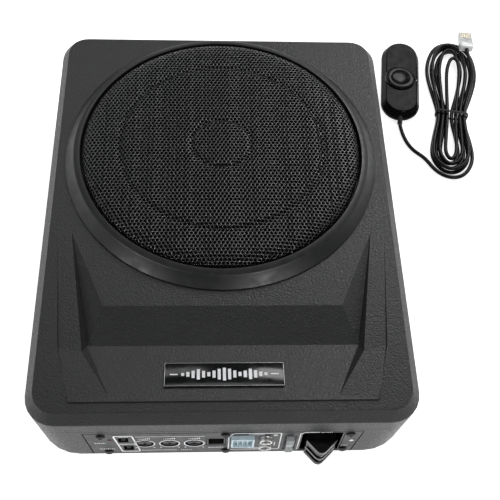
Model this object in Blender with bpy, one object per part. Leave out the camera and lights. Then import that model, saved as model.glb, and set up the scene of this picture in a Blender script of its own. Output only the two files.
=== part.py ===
"""Powered car subwoofer: a flat moulded enclosure with an 8-inch driver under a round steel grille,
a built-in amplifier behind the front control panel, and a wired remote level control.

Metres, +Z up. The origin is the centre of the underside, X runs to the right, +Y to the rear,
so the control panel faces -Y. The enclosure stands on three hook-and-loop strips at z = 0.
"""

import math

import bmesh
import bpy
from mathutils import Matrix, Vector

MM = 0.001
GAP = 0.3 * MM

# Enclosure
BODY_WIDTH = 250 * MM
BODY_LENGTH = 325.5 * MM
HALF_X = BODY_WIDTH / 2
HALF_Y = BODY_LENGTH / 2
FRONT_Y = -HALF_Y
UNDERSIDE_Z = 3 * MM
PARTING_Z = 47 * MM
SHOULDER_Z = 58.7 * MM
DECK_Z = 66 * MM
BEVEL_RUN = 5.75 * MM
CORNER_AT_UNDERSIDE = 30 * MM
CORNER_AT_SHOULDER = 20 * MM
WALL = 3 * MM
FRONT_WALL = 5.5 * MM
CORNER_STEPS = 6

# Driver and grille, turned about one vertical axis
DRIVER_X = 0.0
DRIVER_Y = 41.5 * MM
DRIVER_HOLE_R = 93.5 * MM
RING_FOOT_R = 113.7 * MM
GRILLE_R = 101 * MM
GRILLE_TOP_Z = 81.3 * MM
TURN_STEPS = 40
HIDDEN_STEPS = 28

# Control panel
PANEL_TOP_Z = 43 * MM
PANEL_LOW_Z = 5.5 * MM
PANEL_TOP_HALF = 89.5 * MM
PANEL_LOW_HALF = 86 * MM
PANEL_THICK = 1.9 * MM
PANEL_BACK_Y = FRONT_Y + PANEL_THICK

# Remote level control and its cord
REMOTE_CENTRE = (161.3 * MM, 172 * MM)
REMOTE_TURN = math.radians(-6.9)
REMOTE_LENGTH = 87 * MM
KNOB_OFFSET = (-1.4 * MM, -3.2 * MM)
REMOTE_WIDTH = 33.4 * MM
REMOTE_HEIGHT = 11 * MM
CORD_DIAMETER = 3.3 * MM
HANK_FOOT = (191.2 * MM, 66 * MM)
HANK_TURN = math.radians(-8.7)
HANK_LENGTH = 158 * MM
HANK_HEIGHT = 7.6 * MM
HANK_WAIST_V = 68 * MM


# ---------------------------------------------------------------- materials and helpers

MATERIALS = {
    "grained_plastic": ((0.030, 0.031, 0.033), 0.55, 0.0),
    "bezel_plastic": ((0.026, 0.027, 0.030), 0.45, 0.0),
    "grille_paint": ((0.018, 0.018, 0.019), 0.42, 0.3),
    "gloss_black": ((0.008, 0.008, 0.009), 0.15, 0.0),
    "zinc_steel": ((0.55, 0.55, 0.56), 0.35, 0.9),
    "black_steel": ((0.03, 0.03, 0.032), 0.45, 0.5),
    "ferrite": ((0.05, 0.05, 0.055), 0.7, 0.1),
    "cone_paper": ((0.02, 0.02, 0.021), 0.8, 0.0),
    "soft_rubber": ((0.015, 0.015, 0.016), 0.75, 0.0),
    "spider_cloth": ((0.55, 0.38, 0.14), 0.9, 0.0),
    "copper_winding": ((0.60, 0.26, 0.12), 0.4, 0.8),
    "board_laminate": ((0.02, 0.12, 0.05), 0.5, 0.0),
    "aluminium": ((0.62, 0.63, 0.64), 0.4, 0.9),
    "capacitor_sleeve": ((0.03, 0.04, 0.10), 0.4, 0.0),
    "panel_plastic": ((0.020, 0.020, 0.022), 0.5, 0.0),
    "control_plastic": ((0.012, 0.012, 0.013), 0.5, 0.0),
    "clear_nylon": ((0.62, 0.68, 0.70), 0.25, 0.0),
    "nickel": ((0.72, 0.71, 0.69), 0.2, 1.0),
    "lens_red": ((0.35, 0.03, 0.02), 0.2, 0.0),
    "hook_strip": ((0.02, 0.02, 0.02), 0.95, 0.0),
    "remote_plastic": ((0.022, 0.022, 0.023), 0.45, 0.0),
    "cord_jacket": ((0.010, 0.010, 0.010), 0.4, 0.0),
    "screw_black": ((0.02, 0.02, 0.02), 0.35, 0.8),
}


def finish(name):
    """The named Principled material, made on first use."""
    if name in bpy.data.materials:
        return bpy.data.materials[name]
    colour, roughness, metallic = MATERIALS[name]
    material = bpy.data.materials.new(name)
    material.use_nodes = True
    shader = material.node_tree.nodes["Principled BSDF"]
    shader.inputs["Base Color"].default_value = (*colour, 1.0)
    shader.inputs["Roughness"].default_value = roughness
    shader.inputs["Metallic"].default_value = metallic
    return material


def part(name, bm, material, origin=(0, 0, 0)):
    """A named object from a bmesh whose points are in world space, with its origin moved to a joint axis."""
    bm.transform(Matrix.Translation(-Vector(origin)))
    bm.normal_update()
    bmesh.ops.recalc_face_normals(bm, faces=bm.faces)
    mesh = bpy.data.meshes.new(name)
    bm.to_mesh(mesh)
    bm.free()
    mesh.shade_smooth()
    mesh.set_sharp_from_angle(angle=math.radians(35))
    mesh.materials.append(finish(material))
    obj = bpy.data.objects.new(name, mesh)
    obj.location = origin
    bpy.context.collection.objects.link(obj)
    return obj


def boolean(obj, tool, operation="DIFFERENCE"):
    """Cut obj with the tool, or join the tool to it, and leave the tool out of the part."""
    modifier = obj.modifiers.new(tool.name, "BOOLEAN")
    modifier.operation = operation
    modifier.object = tool
    tool.hide_render = True
    tool.display_type = "WIRE"


def add_box(bm, low, high):
    """A box between two corners."""
    low, high = Vector(low), Vector(high)
    middle = (low + high) / 2
    size = high - low
    place = Matrix.Translation(middle) @ Matrix.Diagonal((*size, 1))
    return bmesh.ops.create_cube(bm, size=1, matrix=place)["verts"]


def box(low, high):
    bm = bmesh.new()
    add_box(bm, low, high)
    return bm


def add_rod(bm, start, end, radius, end_radius=None, sides=24):
    """A capped cylinder or cone from start to end."""
    start, end = Vector(start), Vector(end)
    along = end - start
    turn = along.to_track_quat("Z", "Y").to_matrix().to_4x4()
    place = Matrix.Translation((start + end) / 2) @ turn
    tip = radius if end_radius is None else end_radius
    made = bmesh.ops.create_cone(
        bm, cap_ends=True, segments=sides, radius1=radius, radius2=tip, depth=along.length, matrix=place
    )
    return made["verts"]


def rod(start, end, radius, end_radius=None, sides=24):
    bm = bmesh.new()
    add_rod(bm, start, end, radius, end_radius, sides)
    return bm


def turned(profile, centre, steps=TURN_STEPS, closed=True):
    """A solid turned about a vertical axis, from (radius, height) points in metres."""
    bm = bmesh.new()
    corners = [bm.verts.new((radius, 0, height)) for radius, height in profile]
    edges = [bm.edges.new(pair) for pair in zip(corners, corners[1:])]
    if closed:
        edges.append(bm.edges.new((corners[-1], corners[0])))
    bmesh.ops.spin(
        bm, geom=corners + edges, cent=(0, 0, 0), axis=(0, 0, 1), angle=math.tau, steps=steps, use_merge=True
    )
    bmesh.ops.remove_doubles(bm, verts=bm.verts, dist=1e-6)
    bm.transform(Matrix.Translation((centre[0], centre[1], 0)))
    return bm


def rounded_outline(half_x, half_y, radius, steps=CORNER_STEPS):
    """Corner arcs of a rounded rectangle, anticlockwise from above."""
    points = []
    for quarter, (sign_x, sign_y) in enumerate(((1, 1), (-1, 1), (-1, -1), (1, -1))):
        for step in range(steps + 1):
            angle = math.radians(90) * (quarter + step / steps)
            points.append((
                sign_x * (half_x - radius) + radius * math.cos(angle),
                sign_y * (half_y - radius) + radius * math.sin(angle),
            ))
    return points


def lofted(levels, lid=True):
    """A solid through outlines of equal point counts, given as (height, points). lid adds the top face."""
    bm = bmesh.new()
    loops = [[bm.verts.new((x, y, height)) for x, y in points] for height, points in levels]
    for lower, upper in zip(loops, loops[1:]):
        for i, corner in enumerate(lower):
            j = (i + 1) % len(lower)
            bm.faces.new((corner, lower[j], upper[j], upper[i]))
    bm.faces.new(list(reversed(loops[0])))
    if lid:
        bm.faces.new(loops[-1])
    return bm


def hull(points):
    """The convex solid over a few corner points."""
    bm = bmesh.new()
    corners = [bm.verts.new(point) for point in points]
    bmesh.ops.convex_hull(bm, input=corners)
    loose = [vert for vert in bm.verts if not vert.link_faces]
    bmesh.ops.delete(bm, geom=loose, context="VERTS")
    return bm


def ring_profile(inner, outer, low, high):
    return [(inner, high), (outer, high), (outer, low), (inner, low)]


def body_corner(height):
    """Corner radius of the enclosure wall: tighter towards the shoulder."""
    share = (height - UNDERSIDE_Z) / (SHOULDER_Z - UNDERSIDE_Z)
    return CORNER_AT_UNDERSIDE + share * (CORNER_AT_SHOULDER - CORNER_AT_UNDERSIDE)


def body_level(height, inset=0.0):
    corner = max(body_corner(height) - inset, 4 * MM)
    return height, rounded_outline(HALF_X - inset, HALF_Y - inset, corner)


# ---------------------------------------------------------------- enclosure

# The right-hand corner points of the deck's relief, as (x, y, height above the deck); the left mirrors them.
# A plateau carries the grille. Its front facet falls to a valley, from which a ramp rises to the front.
# Beside them runs a shallow panel that dips to the valley's line and rises again along the ramp.
PLATEAU_CORNER = (79.3, -83.5, 0.0)
APEX = (104.0, -26.0, 0.0)
VALLEY_END = (88.6, -109.2, -7.0)
PANEL_REAR = (114.0, -24.0, 0.0)
PANEL_DIP_OUTER = (105.9, -112.2, -1.54)
PANEL_DIP_INNER = (90.9, -115.8, -1.5)
STEP_DIP = (106.3, -112.0, 0.0)
STEP_LEVEL = (100.5, -135.3, 0.0)
WEDGE_TIP = (71.6, -147.5, 0.42)
RAMP_CORNER = (96.6, -150.2, 0.95)
STEP_FRONT = (97.0, -150.7, 0.0)
RELIEF_POINTS = (
    PLATEAU_CORNER, APEX, VALLEY_END, PANEL_REAR, PANEL_DIP_OUTER, PANEL_DIP_INNER,
    STEP_DIP, STEP_LEVEL, WEDGE_TIP, RAMP_CORNER, STEP_FRONT,
)
SIDE_FACES = (
    (APEX, PLATEAU_CORNER, VALLEY_END),
    (APEX, VALLEY_END, PANEL_DIP_INNER),
    (VALLEY_END, WEDGE_TIP, PANEL_DIP_INNER),
    (APEX, PANEL_DIP_INNER, PANEL_DIP_OUTER),
    (APEX, PANEL_DIP_OUTER, PANEL_REAR),
    (PANEL_DIP_INNER, WEDGE_TIP, RAMP_CORNER, PANEL_DIP_OUTER),
    (PANEL_REAR, PANEL_DIP_OUTER, STEP_DIP),
    (STEP_DIP, PANEL_DIP_OUTER, STEP_LEVEL),
    (STEP_LEVEL, PANEL_DIP_OUTER, RAMP_CORNER),
    (STEP_LEVEL, RAMP_CORNER, STEP_FRONT),
)


def add_relief(bm):
    """The faceted relief, left open along its outline on the deck."""
    corners = {
        (side, point): bm.verts.new((side * point[0] * MM, point[1] * MM, DECK_Z + point[2] * MM))
        for side in (1, -1)
        for point in RELIEF_POINTS
    }
    for side in (1, -1):
        for face in SIDE_FACES:
            bm.faces.new([corners[side, point] for point in face])
    for rear, front in ((PLATEAU_CORNER, VALLEY_END), (RAMP_CORNER, STEP_FRONT)):
        bm.faces.new([corners[-1, rear], corners[1, rear], corners[1, front], corners[-1, front]])
    ramp = [
        (-1, VALLEY_END),
        (1, VALLEY_END),
        (1, WEDGE_TIP),
        (1, RAMP_CORNER),
        (-1, RAMP_CORNER),
        (-1, WEDGE_TIP),
    ]
    bm.faces.new([corners[key] for key in ramp])


def make_top_housing():
    bevel = (
        DECK_Z, rounded_outline(HALF_X - BEVEL_RUN, HALF_Y - BEVEL_RUN, CORNER_AT_SHOULDER - BEVEL_RUN)
    )
    shell = lofted([body_level(PARTING_Z), body_level(SHOULDER_Z), bevel], lid=False)
    add_relief(shell)
    rims = [edge for edge in shell.edges if edge.is_boundary]
    bmesh.ops.triangle_fill(shell, edges=rims, use_beauty=True, normal=(0, 0, 1))
    housing = part("top_housing", shell, "grained_plastic")
    low_ceiling = 56 * MM
    hollow = lofted([body_level(PARTING_Z - 2 * MM, WALL), body_level(low_ceiling, 1.5 * WALL)])
    boolean(housing, part("cut_hollow", hollow, "grained_plastic"))
    rear_hollow = box(
        (-HALF_X + 3 * WALL, -36 * MM, low_ceiling - 1 * MM),
        (HALF_X - 3 * WALL, HALF_Y - 3 * WALL, DECK_Z - WALL),
    )
    boolean(housing, part("cut_rear_hollow", rear_hollow, "grained_plastic"))
    mouth = rod(
        (DRIVER_X, DRIVER_Y, 50 * MM), (DRIVER_X, DRIVER_Y, 80 * MM), DRIVER_HOLE_R, sides=TURN_STEPS
    )
    boolean(housing, part("cut_driver_mouth", mouth, "grained_plastic"))


def panel_outline(grow, y):
    """Corners of the trapezoid panel, grown outwards, as seen from the front."""
    return [
        (-PANEL_TOP_HALF - grow, y, PANEL_TOP_Z + grow),
        (PANEL_TOP_HALF + grow, y, PANEL_TOP_Z + grow),
        (PANEL_LOW_HALF + grow, y, PANEL_LOW_Z - grow),
        (-PANEL_LOW_HALF - grow, y, PANEL_LOW_Z - grow),
    ]


def panel_prism(grow, front, back):
    return hull(panel_outline(grow, front) + panel_outline(grow, back))


def make_lower_housing():
    foot = (
        UNDERSIDE_Z, rounded_outline(HALF_X - 1.5 * MM, HALF_Y - 1.5 * MM, CORNER_AT_UNDERSIDE - 1.5 * MM)
    )
    levels = [foot, body_level(UNDERSIDE_Z + 1.5 * MM), body_level(PARTING_Z - GAP)]
    housing = part("lower_housing", lofted(levels), "grained_plastic")
    shift = Matrix.Translation((0, (FRONT_WALL - WALL) / 2, 0))
    inner_half_y = HALF_Y - (WALL + FRONT_WALL) / 2
    inner = rounded_outline(HALF_X - WALL, inner_half_y, CORNER_AT_SHOULDER)
    hollow = lofted([(UNDERSIDE_Z + WALL, inner), (PARTING_Z + 2 * MM, inner)])
    hollow.transform(shift)
    boolean(housing, part("cut_tub", hollow, "grained_plastic"))
    outside = FRONT_Y - 5 * MM
    recess = panel_prism(0.7 * MM, outside, PANEL_BACK_Y + GAP)
    boolean(housing, part("cut_panel_recess", recess, "grained_plastic"))
    window = panel_prism(-1.2 * MM, outside, FRONT_Y + 9 * MM)
    boolean(housing, part("cut_panel_window", window, "grained_plastic"))


def make_grip_strips():
    """Hook-and-loop strips that hold the box to the carpet."""
    length, width, thick = 180 * MM, 25 * MM, UNDERSIDE_Z - GAP
    for word, y in (("front", -115 * MM), ("middle", 0.0), ("rear", 115 * MM)):
        strip = box((-length / 2, y - width / 2, 0), (length / 2, y + width / 2, thick))
        part(f"grip_strip_{word}", strip, "hook_strip")


def make_badge():
    """A glossy nameplate lying on the ramp in front of the grille."""
    rise_height = (RAMP_CORNER[2] - VALLEY_END[2]) * MM
    rise_run = (VALLEY_END[1] - RAMP_CORNER[1]) * MM
    slope = math.atan2(rise_height, rise_run)
    middle_y = -132 * MM
    floor_z = DECK_Z + VALLEY_END[2] * MM + (VALLEY_END[1] * MM - middle_y) * math.tan(slope)
    plate = box((-38 * MM, -8.7 * MM, GAP), (38 * MM, 8.7 * MM, 1.7 * MM))
    edges = [edge for edge in plate.edges if all(vert.co.z > 1 * MM for vert in edge.verts)]
    bmesh.ops.bevel(
        plate, geom=edges, offset=0.4 * MM, segments=2, profile=0.5, affect="EDGES", material=-1
    )
    plate.transform(Matrix.Translation((0, middle_y, floor_z)) @ Matrix.Rotation(-slope, 4, "X"))
    part("badge_plate", plate, "gloss_black")


# ---------------------------------------------------------------- grille and driver

DRIVER = (DRIVER_X, DRIVER_Y)


def make_grille():
    """The bezel's cone-shaped top leads in to a lip, and the crowned steel grille stands just inside it."""
    foot = DECK_Z + GAP
    lip_r = GRILLE_R + 1.2 * MM
    bezel = [
        (RING_FOOT_R, foot + 0.8 * MM),
        (RING_FOOT_R - 0.2 * MM, foot),
        (lip_r, foot),
        (lip_r, 75.3 * MM),
        (lip_r + 0.7 * MM, 76 * MM),
        (106.4 * MM, 74.6 * MM),
        (107.4 * MM, 73.8 * MM),
    ]
    part("grille_ring", turned(list(reversed(bezel)), DRIVER), "bezel_plastic")
    crown = [
        (0, GRILLE_TOP_Z),
        (20 * MM, GRILLE_TOP_Z - 0.3 * MM),
        (22 * MM, GRILLE_TOP_Z - 1.1 * MM),
        (55 * MM, GRILLE_TOP_Z - 0.6 * MM),
        (70.5 * MM, GRILLE_TOP_Z - 0.6 * MM),
        (73.5 * MM, GRILLE_TOP_Z - 1.7 * MM),
        (88 * MM, GRILLE_TOP_Z - 1.6 * MM),
        (95 * MM, GRILLE_TOP_Z - 2.4 * MM),
        (98.5 * MM, GRILLE_TOP_Z - 3.8 * MM),
        (GRILLE_R, GRILLE_TOP_Z - 6.8 * MM),
        (GRILLE_R, foot + 2.4 * MM),
    ]
    sheet = 1.0 * MM
    under = [(max(radius - sheet, 0), height - sheet) for radius, height in crown[1:-1]]
    under.append((GRILLE_R - sheet, foot + 2.4 * MM))
    profile = crown + list(reversed(under)) + [(0, GRILLE_TOP_Z - sheet)]
    part("grille_mesh", turned(profile, DRIVER, closed=False), "grille_paint")


def make_basket():
    """Pressed steel frame: flange on the deck, sloping sides with windows, and a seat for the motor."""
    sheet = 1.5 * MM
    flange_z = DECK_Z + GAP
    outer = [
        (100.8 * MM, flange_z + sheet),
        (100.8 * MM, flange_z),
        (92.5 * MM, flange_z),
        (88 * MM, 58 * MM),
        (58 * MM, 39 * MM),
        (52 * MM, 34.6 * MM),
        (30 * MM, 34.6 * MM),
    ]
    inner = [
        (30 * MM, 34.6 * MM + sheet),
        (51.5 * MM, 34.6 * MM + sheet),
        (57.5 * MM, 39 * MM + sheet),
        (86.5 * MM, 59.4 * MM),
        (91 * MM, flange_z + sheet),
    ]
    basket = part("driver_basket", turned(outer + inner, DRIVER), "black_steel")
    for index in range(6):
        window = box((60 * MM, -15 * MM, 35 * MM), (83 * MM, 15 * MM, 62 * MM))
        window.transform(Matrix.Rotation(index * math.tau / 6, 4, "Z"))
        window.transform(Matrix.Translation((DRIVER_X, DRIVER_Y, 0)))
        boolean(basket, part(f"cut_basket_window_{index + 1}", window, "black_steel"))


def make_motor():
    magnet = turned(ring_profile(30 * MM, 45 * MM, 14.3 * MM, 28.3 * MM), DRIVER, HIDDEN_STEPS)
    part("magnet", magnet, "ferrite")
    pole_plate = turned(ring_profile(27.5 * MM, 44 * MM, 28.6 * MM, 34.3 * MM), DRIVER, HIDDEN_STEPS)
    part("front_pole_plate", pole_plate, "zinc_steel")
    yoke = [
        (0, 34 * MM),
        (23.4 * MM, 34 * MM),
        (23.4 * MM, 14 * MM),
        (43 * MM, 14 * MM),
        (43 * MM, 9 * MM),
        (0, 9 * MM),
    ]
    part("back_plate_and_pole", turned(yoke, DRIVER, HIDDEN_STEPS, closed=False), "zinc_steel")


def make_moving_cone():
    rim = DECK_Z + 2.2 * MM
    cone = [
        (78 * MM, rim + 1 * MM),
        (78 * MM, rim - 1 * MM),
        (28.5 * MM, 50 * MM),
        (26.8 * MM, 51 * MM),
        (26.8 * MM, 52.4 * MM),
    ]
    coil = ring_profile(24.6 * MM, 26.3 * MM, 24 * MM, 50.4 * MM)
    cone_parts = [
        ("cone", turned(cone, DRIVER), "cone_paper"),
        ("voice_coil", turned(coil, DRIVER, HIDDEN_STEPS), "copper_winding"),
        ("dust_cap", turned(dust_cap_profile(), DRIVER, HIDDEN_STEPS, closed=False), "cone_paper"),
    ]
    for name, shape, material in cone_parts:
        part(name, shape, material, origin=(DRIVER_X, DRIVER_Y, 50 * MM))


def dust_cap_profile():
    """A shallow dome glued over the voice coil, standing on the cone."""
    radius, rise, sheet, steps = 34 * MM, 9 * MM, 1 * MM, 6
    seat = 56 * MM
    upper = [
        (
            radius * math.sin(math.radians(90) * step / steps),
            seat + rise * math.cos(math.radians(90) * step / steps),
        )
        for step in range(steps + 1)
    ]
    lower = [(max(r - sheet, 0), z - sheet) for r, z in reversed(upper[1:])]
    return upper + lower + [(0, seat + rise - sheet)]


def half_roll(inner, outer, base, rise, sheet, steps=6):
    """A rubber half-roll between two radii, with flat lips."""
    middle, half = (inner + outer) / 2, (outer - inner) / 2
    top, under = [], []
    for step in range(steps + 1):
        angle = math.pi * (1 - step / steps)
        top.append((middle + half * math.cos(angle), base + sheet + rise * math.sin(angle)))
        under.append((middle + (half - sheet) * math.cos(angle), base + (rise - sheet) * math.sin(angle)))
    return list(reversed(under)) + top


def make_suspension():
    lip = DECK_Z + GAP + 1.5 * MM + GAP
    part(
        "surround", turned(half_roll(78.5 * MM, 92.4 * MM, lip, 2.8 * MM, 0.9 * MM), DRIVER), "soft_rubber"
    )
    part("gasket", turned(ring_profile(92.8 * MM, 98 * MM, lip, lip + 1.6 * MM), DRIVER), "soft_rubber")
    waves, sheet, base = 4, 0.8 * MM, 43.2 * MM
    inner, outer = 26.8 * MM, 59.5 * MM
    top = []
    for step in range(4 * waves + 1):
        share = step / (4 * waves)
        top.append((inner + share * (outer - inner), base + 1.2 * MM * math.sin(share * waves * math.tau)))
    under = [(radius, height - sheet) for radius, height in reversed(top)]
    part("spider", turned(top + under, DRIVER, HIDDEN_STEPS), "spider_cloth")


# ---------------------------------------------------------------- control panel and amplifier

POT_X = (-51.6 * MM, -35.4 * MM, -19.3 * MM)
POT_NAMES = ("gain", "crossover", "boost")
POT_Z = 23.5 * MM
SWITCH_PLACES = (("phase", -65 * MM, 31 * MM), ("input", -62.4 * MM, 15.5 * MM))
JACK_X, JACK_Z = -5.0 * MM, 26 * MM
SOCKET_X, SOCKET_Z = 12.2 * MM, 29.5 * MM
RCA_X, RCA_Z = 27.3 * MM, (31 * MM, 19 * MM)
FUSE_X, FUSE_Z = 43.4 * MM, 22 * MM
POWER_X, POWER_Z = 64 * MM, 24.25 * MM
POWER_HALF_X, POWER_HALF_Z = 13 * MM, 16.25 * MM
LED_X, LED_Z = -73.6 * MM, 31 * MM
SCREW_PLACES = ((-79, 38), (0.9, 39), (82, 38), (-76, 9), (1.6, 8.6), (80.5, 9))
THROUGH = (FRONT_Y - 3 * MM, PANEL_BACK_Y + 3 * MM)


def square_cutter(x, z, half_x, half_z):
    return box((x - half_x, THROUGH[0], z - half_z), (x + half_x, THROUGH[1], z + half_z))


def round_cutter(x, z, radius, sides=24):
    return rod((x, THROUGH[0], z), (x, THROUGH[1], z), radius, sides=sides)


def make_control_panel():
    panel = part("control_panel", panel_prism(0, FRONT_Y, PANEL_BACK_Y), "panel_plastic")
    holes = [round_cutter(x, POT_Z, 6 * MM) for x in POT_X]
    holes += [square_cutter(x, z, 3.3 * MM, 4.2 * MM) for _, x, z in SWITCH_PLACES]
    holes += [
        square_cutter(JACK_X, JACK_Z, 6.4 * MM, 7.2 * MM),
        square_cutter(SOCKET_X, SOCKET_Z, 7.8 * MM, 7.8 * MM),
    ]
    holes += [round_cutter(RCA_X, z, 4.6 * MM) for z in RCA_Z]
    holes += [square_cutter(FUSE_X, FUSE_Z, 3.9 * MM, 13 * MM)]
    holes += [square_cutter(POWER_X, POWER_Z, POWER_HALF_X + 1.3 * MM, POWER_HALF_Z + 1.3 * MM)]
    holes += [round_cutter(LED_X, LED_Z, 1.8 * MM, 12)]
    holes += [round_cutter(x * MM, z * MM, 1.8 * MM, 12) for x, z in SCREW_PLACES]
    for index, hole in enumerate(holes):
        boolean(panel, part(f"cut_panel_hole_{index + 1}", hole, "panel_plastic"))


def make_panel_screws():
    for index, (x, z) in enumerate(SCREW_PLACES):
        screw = turned(
            [(0, 1.5 * MM), (2.2 * MM, 1.5 * MM), (3 * MM, 0.7 * MM), (3 * MM, 0.3 * MM),
             (1.4 * MM, 0.3 * MM), (1.4 * MM, -2.1 * MM), (0, -2.1 * MM)],
            (0, 0), steps=12, closed=False,
        )
        screw.transform(
            Matrix.Translation((x * MM, FRONT_Y, z * MM)) @ Matrix.Rotation(math.radians(90), 4, "X")
        )
        part(f"panel_screw_{index + 1}", screw, "screw_black")


def make_pots():
    """Three rotary controls: a body with a stub shaft behind the panel and a knob on each shaft."""
    for word, x in zip(POT_NAMES, POT_X):
        body = box(
            (x - 5 * MM, PANEL_BACK_Y + 2.4 * MM, POT_Z - 5.5 * MM),
            (x + 5 * MM, PANEL_BACK_Y + 9 * MM, POT_Z + 5.5 * MM),
        )
        pot = part(f"{word}_pot", body, "control_plastic")
        stem = rod((x, PANEL_BACK_Y + 4 * MM, POT_Z), (x, FRONT_Y + 1.6 * MM, POT_Z), 1.5 * MM, sides=16)
        boolean(pot, part(f"add_{word}_shaft", stem, "control_plastic"), "UNION")
        axis = (x, FRONT_Y, POT_Z)
        knob = part(
            f"{word}_knob",
            rod((x, FRONT_Y + 0.5 * MM, POT_Z), (x, PANEL_BACK_Y + 1.8 * MM, POT_Z), 4.8 * MM),
            "control_plastic",
            axis,
        )
        bore = rod((x, FRONT_Y + 1.3 * MM, POT_Z), (x, PANEL_BACK_Y + 4 * MM, POT_Z), 1.8 * MM, sides=16)
        boolean(knob, part(f"cut_{word}_bore", bore, "control_plastic"))
        slot = box(
            (x - 0.5 * MM, FRONT_Y, POT_Z - 3.4 * MM), (x + 0.5 * MM, FRONT_Y + 1 * MM, POT_Z + 3.4 * MM)
        )
        boolean(knob, part(f"cut_{word}_slot", slot, "control_plastic"))


def make_switches():
    """Two small slide switches, one above the other: each a case with a slot and a lever in it."""
    for word, x, z in SWITCH_PLACES:
        front, back = PANEL_BACK_Y + GAP, PANEL_BACK_Y + 6 * MM
        case = part(
            f"{word}_switch_case",
            box((x - 4.6 * MM, front, z - 6 * MM), (x + 4.6 * MM, back, z + 6 * MM)),
            "zinc_steel",
        )
        slot = box(
            (x - 1.8 * MM, front - 1 * MM, z - 3.8 * MM), (x + 1.8 * MM, back - 1 * MM, z + 3.8 * MM)
        )
        boolean(case, part(f"cut_{word}_slot_way", slot, "zinc_steel"))
        lever = box(
            (x - 1.3 * MM, FRONT_Y + 0.3 * MM, z - 1.6 * MM), (x + 1.3 * MM, back - 1.5 * MM, z + 1.6 * MM)
        )
        part(f"{word}_switch_lever", lever, "control_plastic", origin=(x, FRONT_Y, z))


def make_sockets():
    back = PANEL_BACK_Y + 11 * MM
    jack = part(
        "remote_jack",
        box(
            (JACK_X - 6.1 * MM, FRONT_Y + 0.2 * MM, JACK_Z - 6.9 * MM),
            (JACK_X + 6.1 * MM, back, JACK_Z + 6.9 * MM),
        ),
        "control_plastic",
    )
    mouth = box(
        (JACK_X - 5 * MM, FRONT_Y - 1 * MM, JACK_Z - 5.4 * MM),
        (JACK_X + 5 * MM, back - 1.5 * MM, JACK_Z + 5.4 * MM),
    )
    boolean(jack, part("cut_remote_jack_mouth", mouth, "control_plastic"))
    front = FRONT_Y - 3 * MM
    socket = part(
        "high_level_socket",
        box(
            (SOCKET_X - 7.5 * MM, front, SOCKET_Z - 7.5 * MM),
            (SOCKET_X + 7.5 * MM, back, SOCKET_Z + 7.5 * MM),
        ),
        "clear_nylon",
    )
    mouth = box(
        (SOCKET_X - 6.2 * MM, front - 1 * MM, SOCKET_Z - 6.2 * MM),
        (SOCKET_X + 6.2 * MM, back - 2 * MM, SOCKET_Z + 6.2 * MM),
    )
    boolean(socket, part("cut_high_level_mouth", mouth, "clear_nylon"))
    for word, z in zip(("left", "right"), RCA_Z):
        barrel = [
            (1.9 * MM, 3.0 * MM),
            (4.2 * MM, 3.0 * MM),
            (4.2 * MM, -11 * MM),
            (0, -11 * MM),
            (0, -6 * MM),
            (1.9 * MM, -6 * MM),
        ]
        shape = turned(barrel, (0, 0), steps=20, closed=False)
        close_axis_gap(shape)
        shape.transform(Matrix.Translation((RCA_X, FRONT_Y, z)) @ Matrix.Rotation(math.radians(90), 4, "X"))
        part(f"rca_jack_{word}", shape, "nickel")


def close_axis_gap(bm):
    """Join the open ring where a turned profile's first and last points meet."""
    rims = [edge for edge in bm.edges if edge.is_boundary]
    if rims:
        bmesh.ops.bridge_loops(bm, edges=rims)


def make_fuse():
    holder_back = PANEL_BACK_Y + 17 * MM
    holder = part(
        "fuse_holder",
        box(
            (FUSE_X - 3.6 * MM, FRONT_Y + 0.2 * MM, FUSE_Z - 12.7 * MM),
            (FUSE_X + 3.6 * MM, holder_back, FUSE_Z + 12.7 * MM),
        ),
        "control_plastic",
    )
    way = box(
        (FUSE_X - 2.9 * MM, FRONT_Y - 1 * MM, FUSE_Z - 11.9 * MM),
        (FUSE_X + 2.9 * MM, holder_back - 1.5 * MM, FUSE_Z + 11.9 * MM),
    )
    boolean(holder, part("cut_fuse_way", way, "control_plastic"))
    front = FRONT_Y - 3 * MM
    origin = (FUSE_X, front, FUSE_Z)
    body = box(
        (FUSE_X - 2.5 * MM, front, FUSE_Z - 11.5 * MM),
        (FUSE_X + 2.5 * MM, front + 9 * MM, FUSE_Z + 11.5 * MM),
    )
    fuse = part("blade_fuse", body, "clear_nylon", origin=origin)
    for word, low, high in (("upper", 3 * MM, 8 * MM), ("lower", -8 * MM, -3 * MM)):
        blade = box(
            (FUSE_X - 0.5 * MM, front + 7 * MM, FUSE_Z + low),
            (FUSE_X + 0.5 * MM, front + 18 * MM, FUSE_Z + high),
        )
        boolean(fuse, part(f"add_{word}_blade", blade, "clear_nylon"), "UNION")


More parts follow.
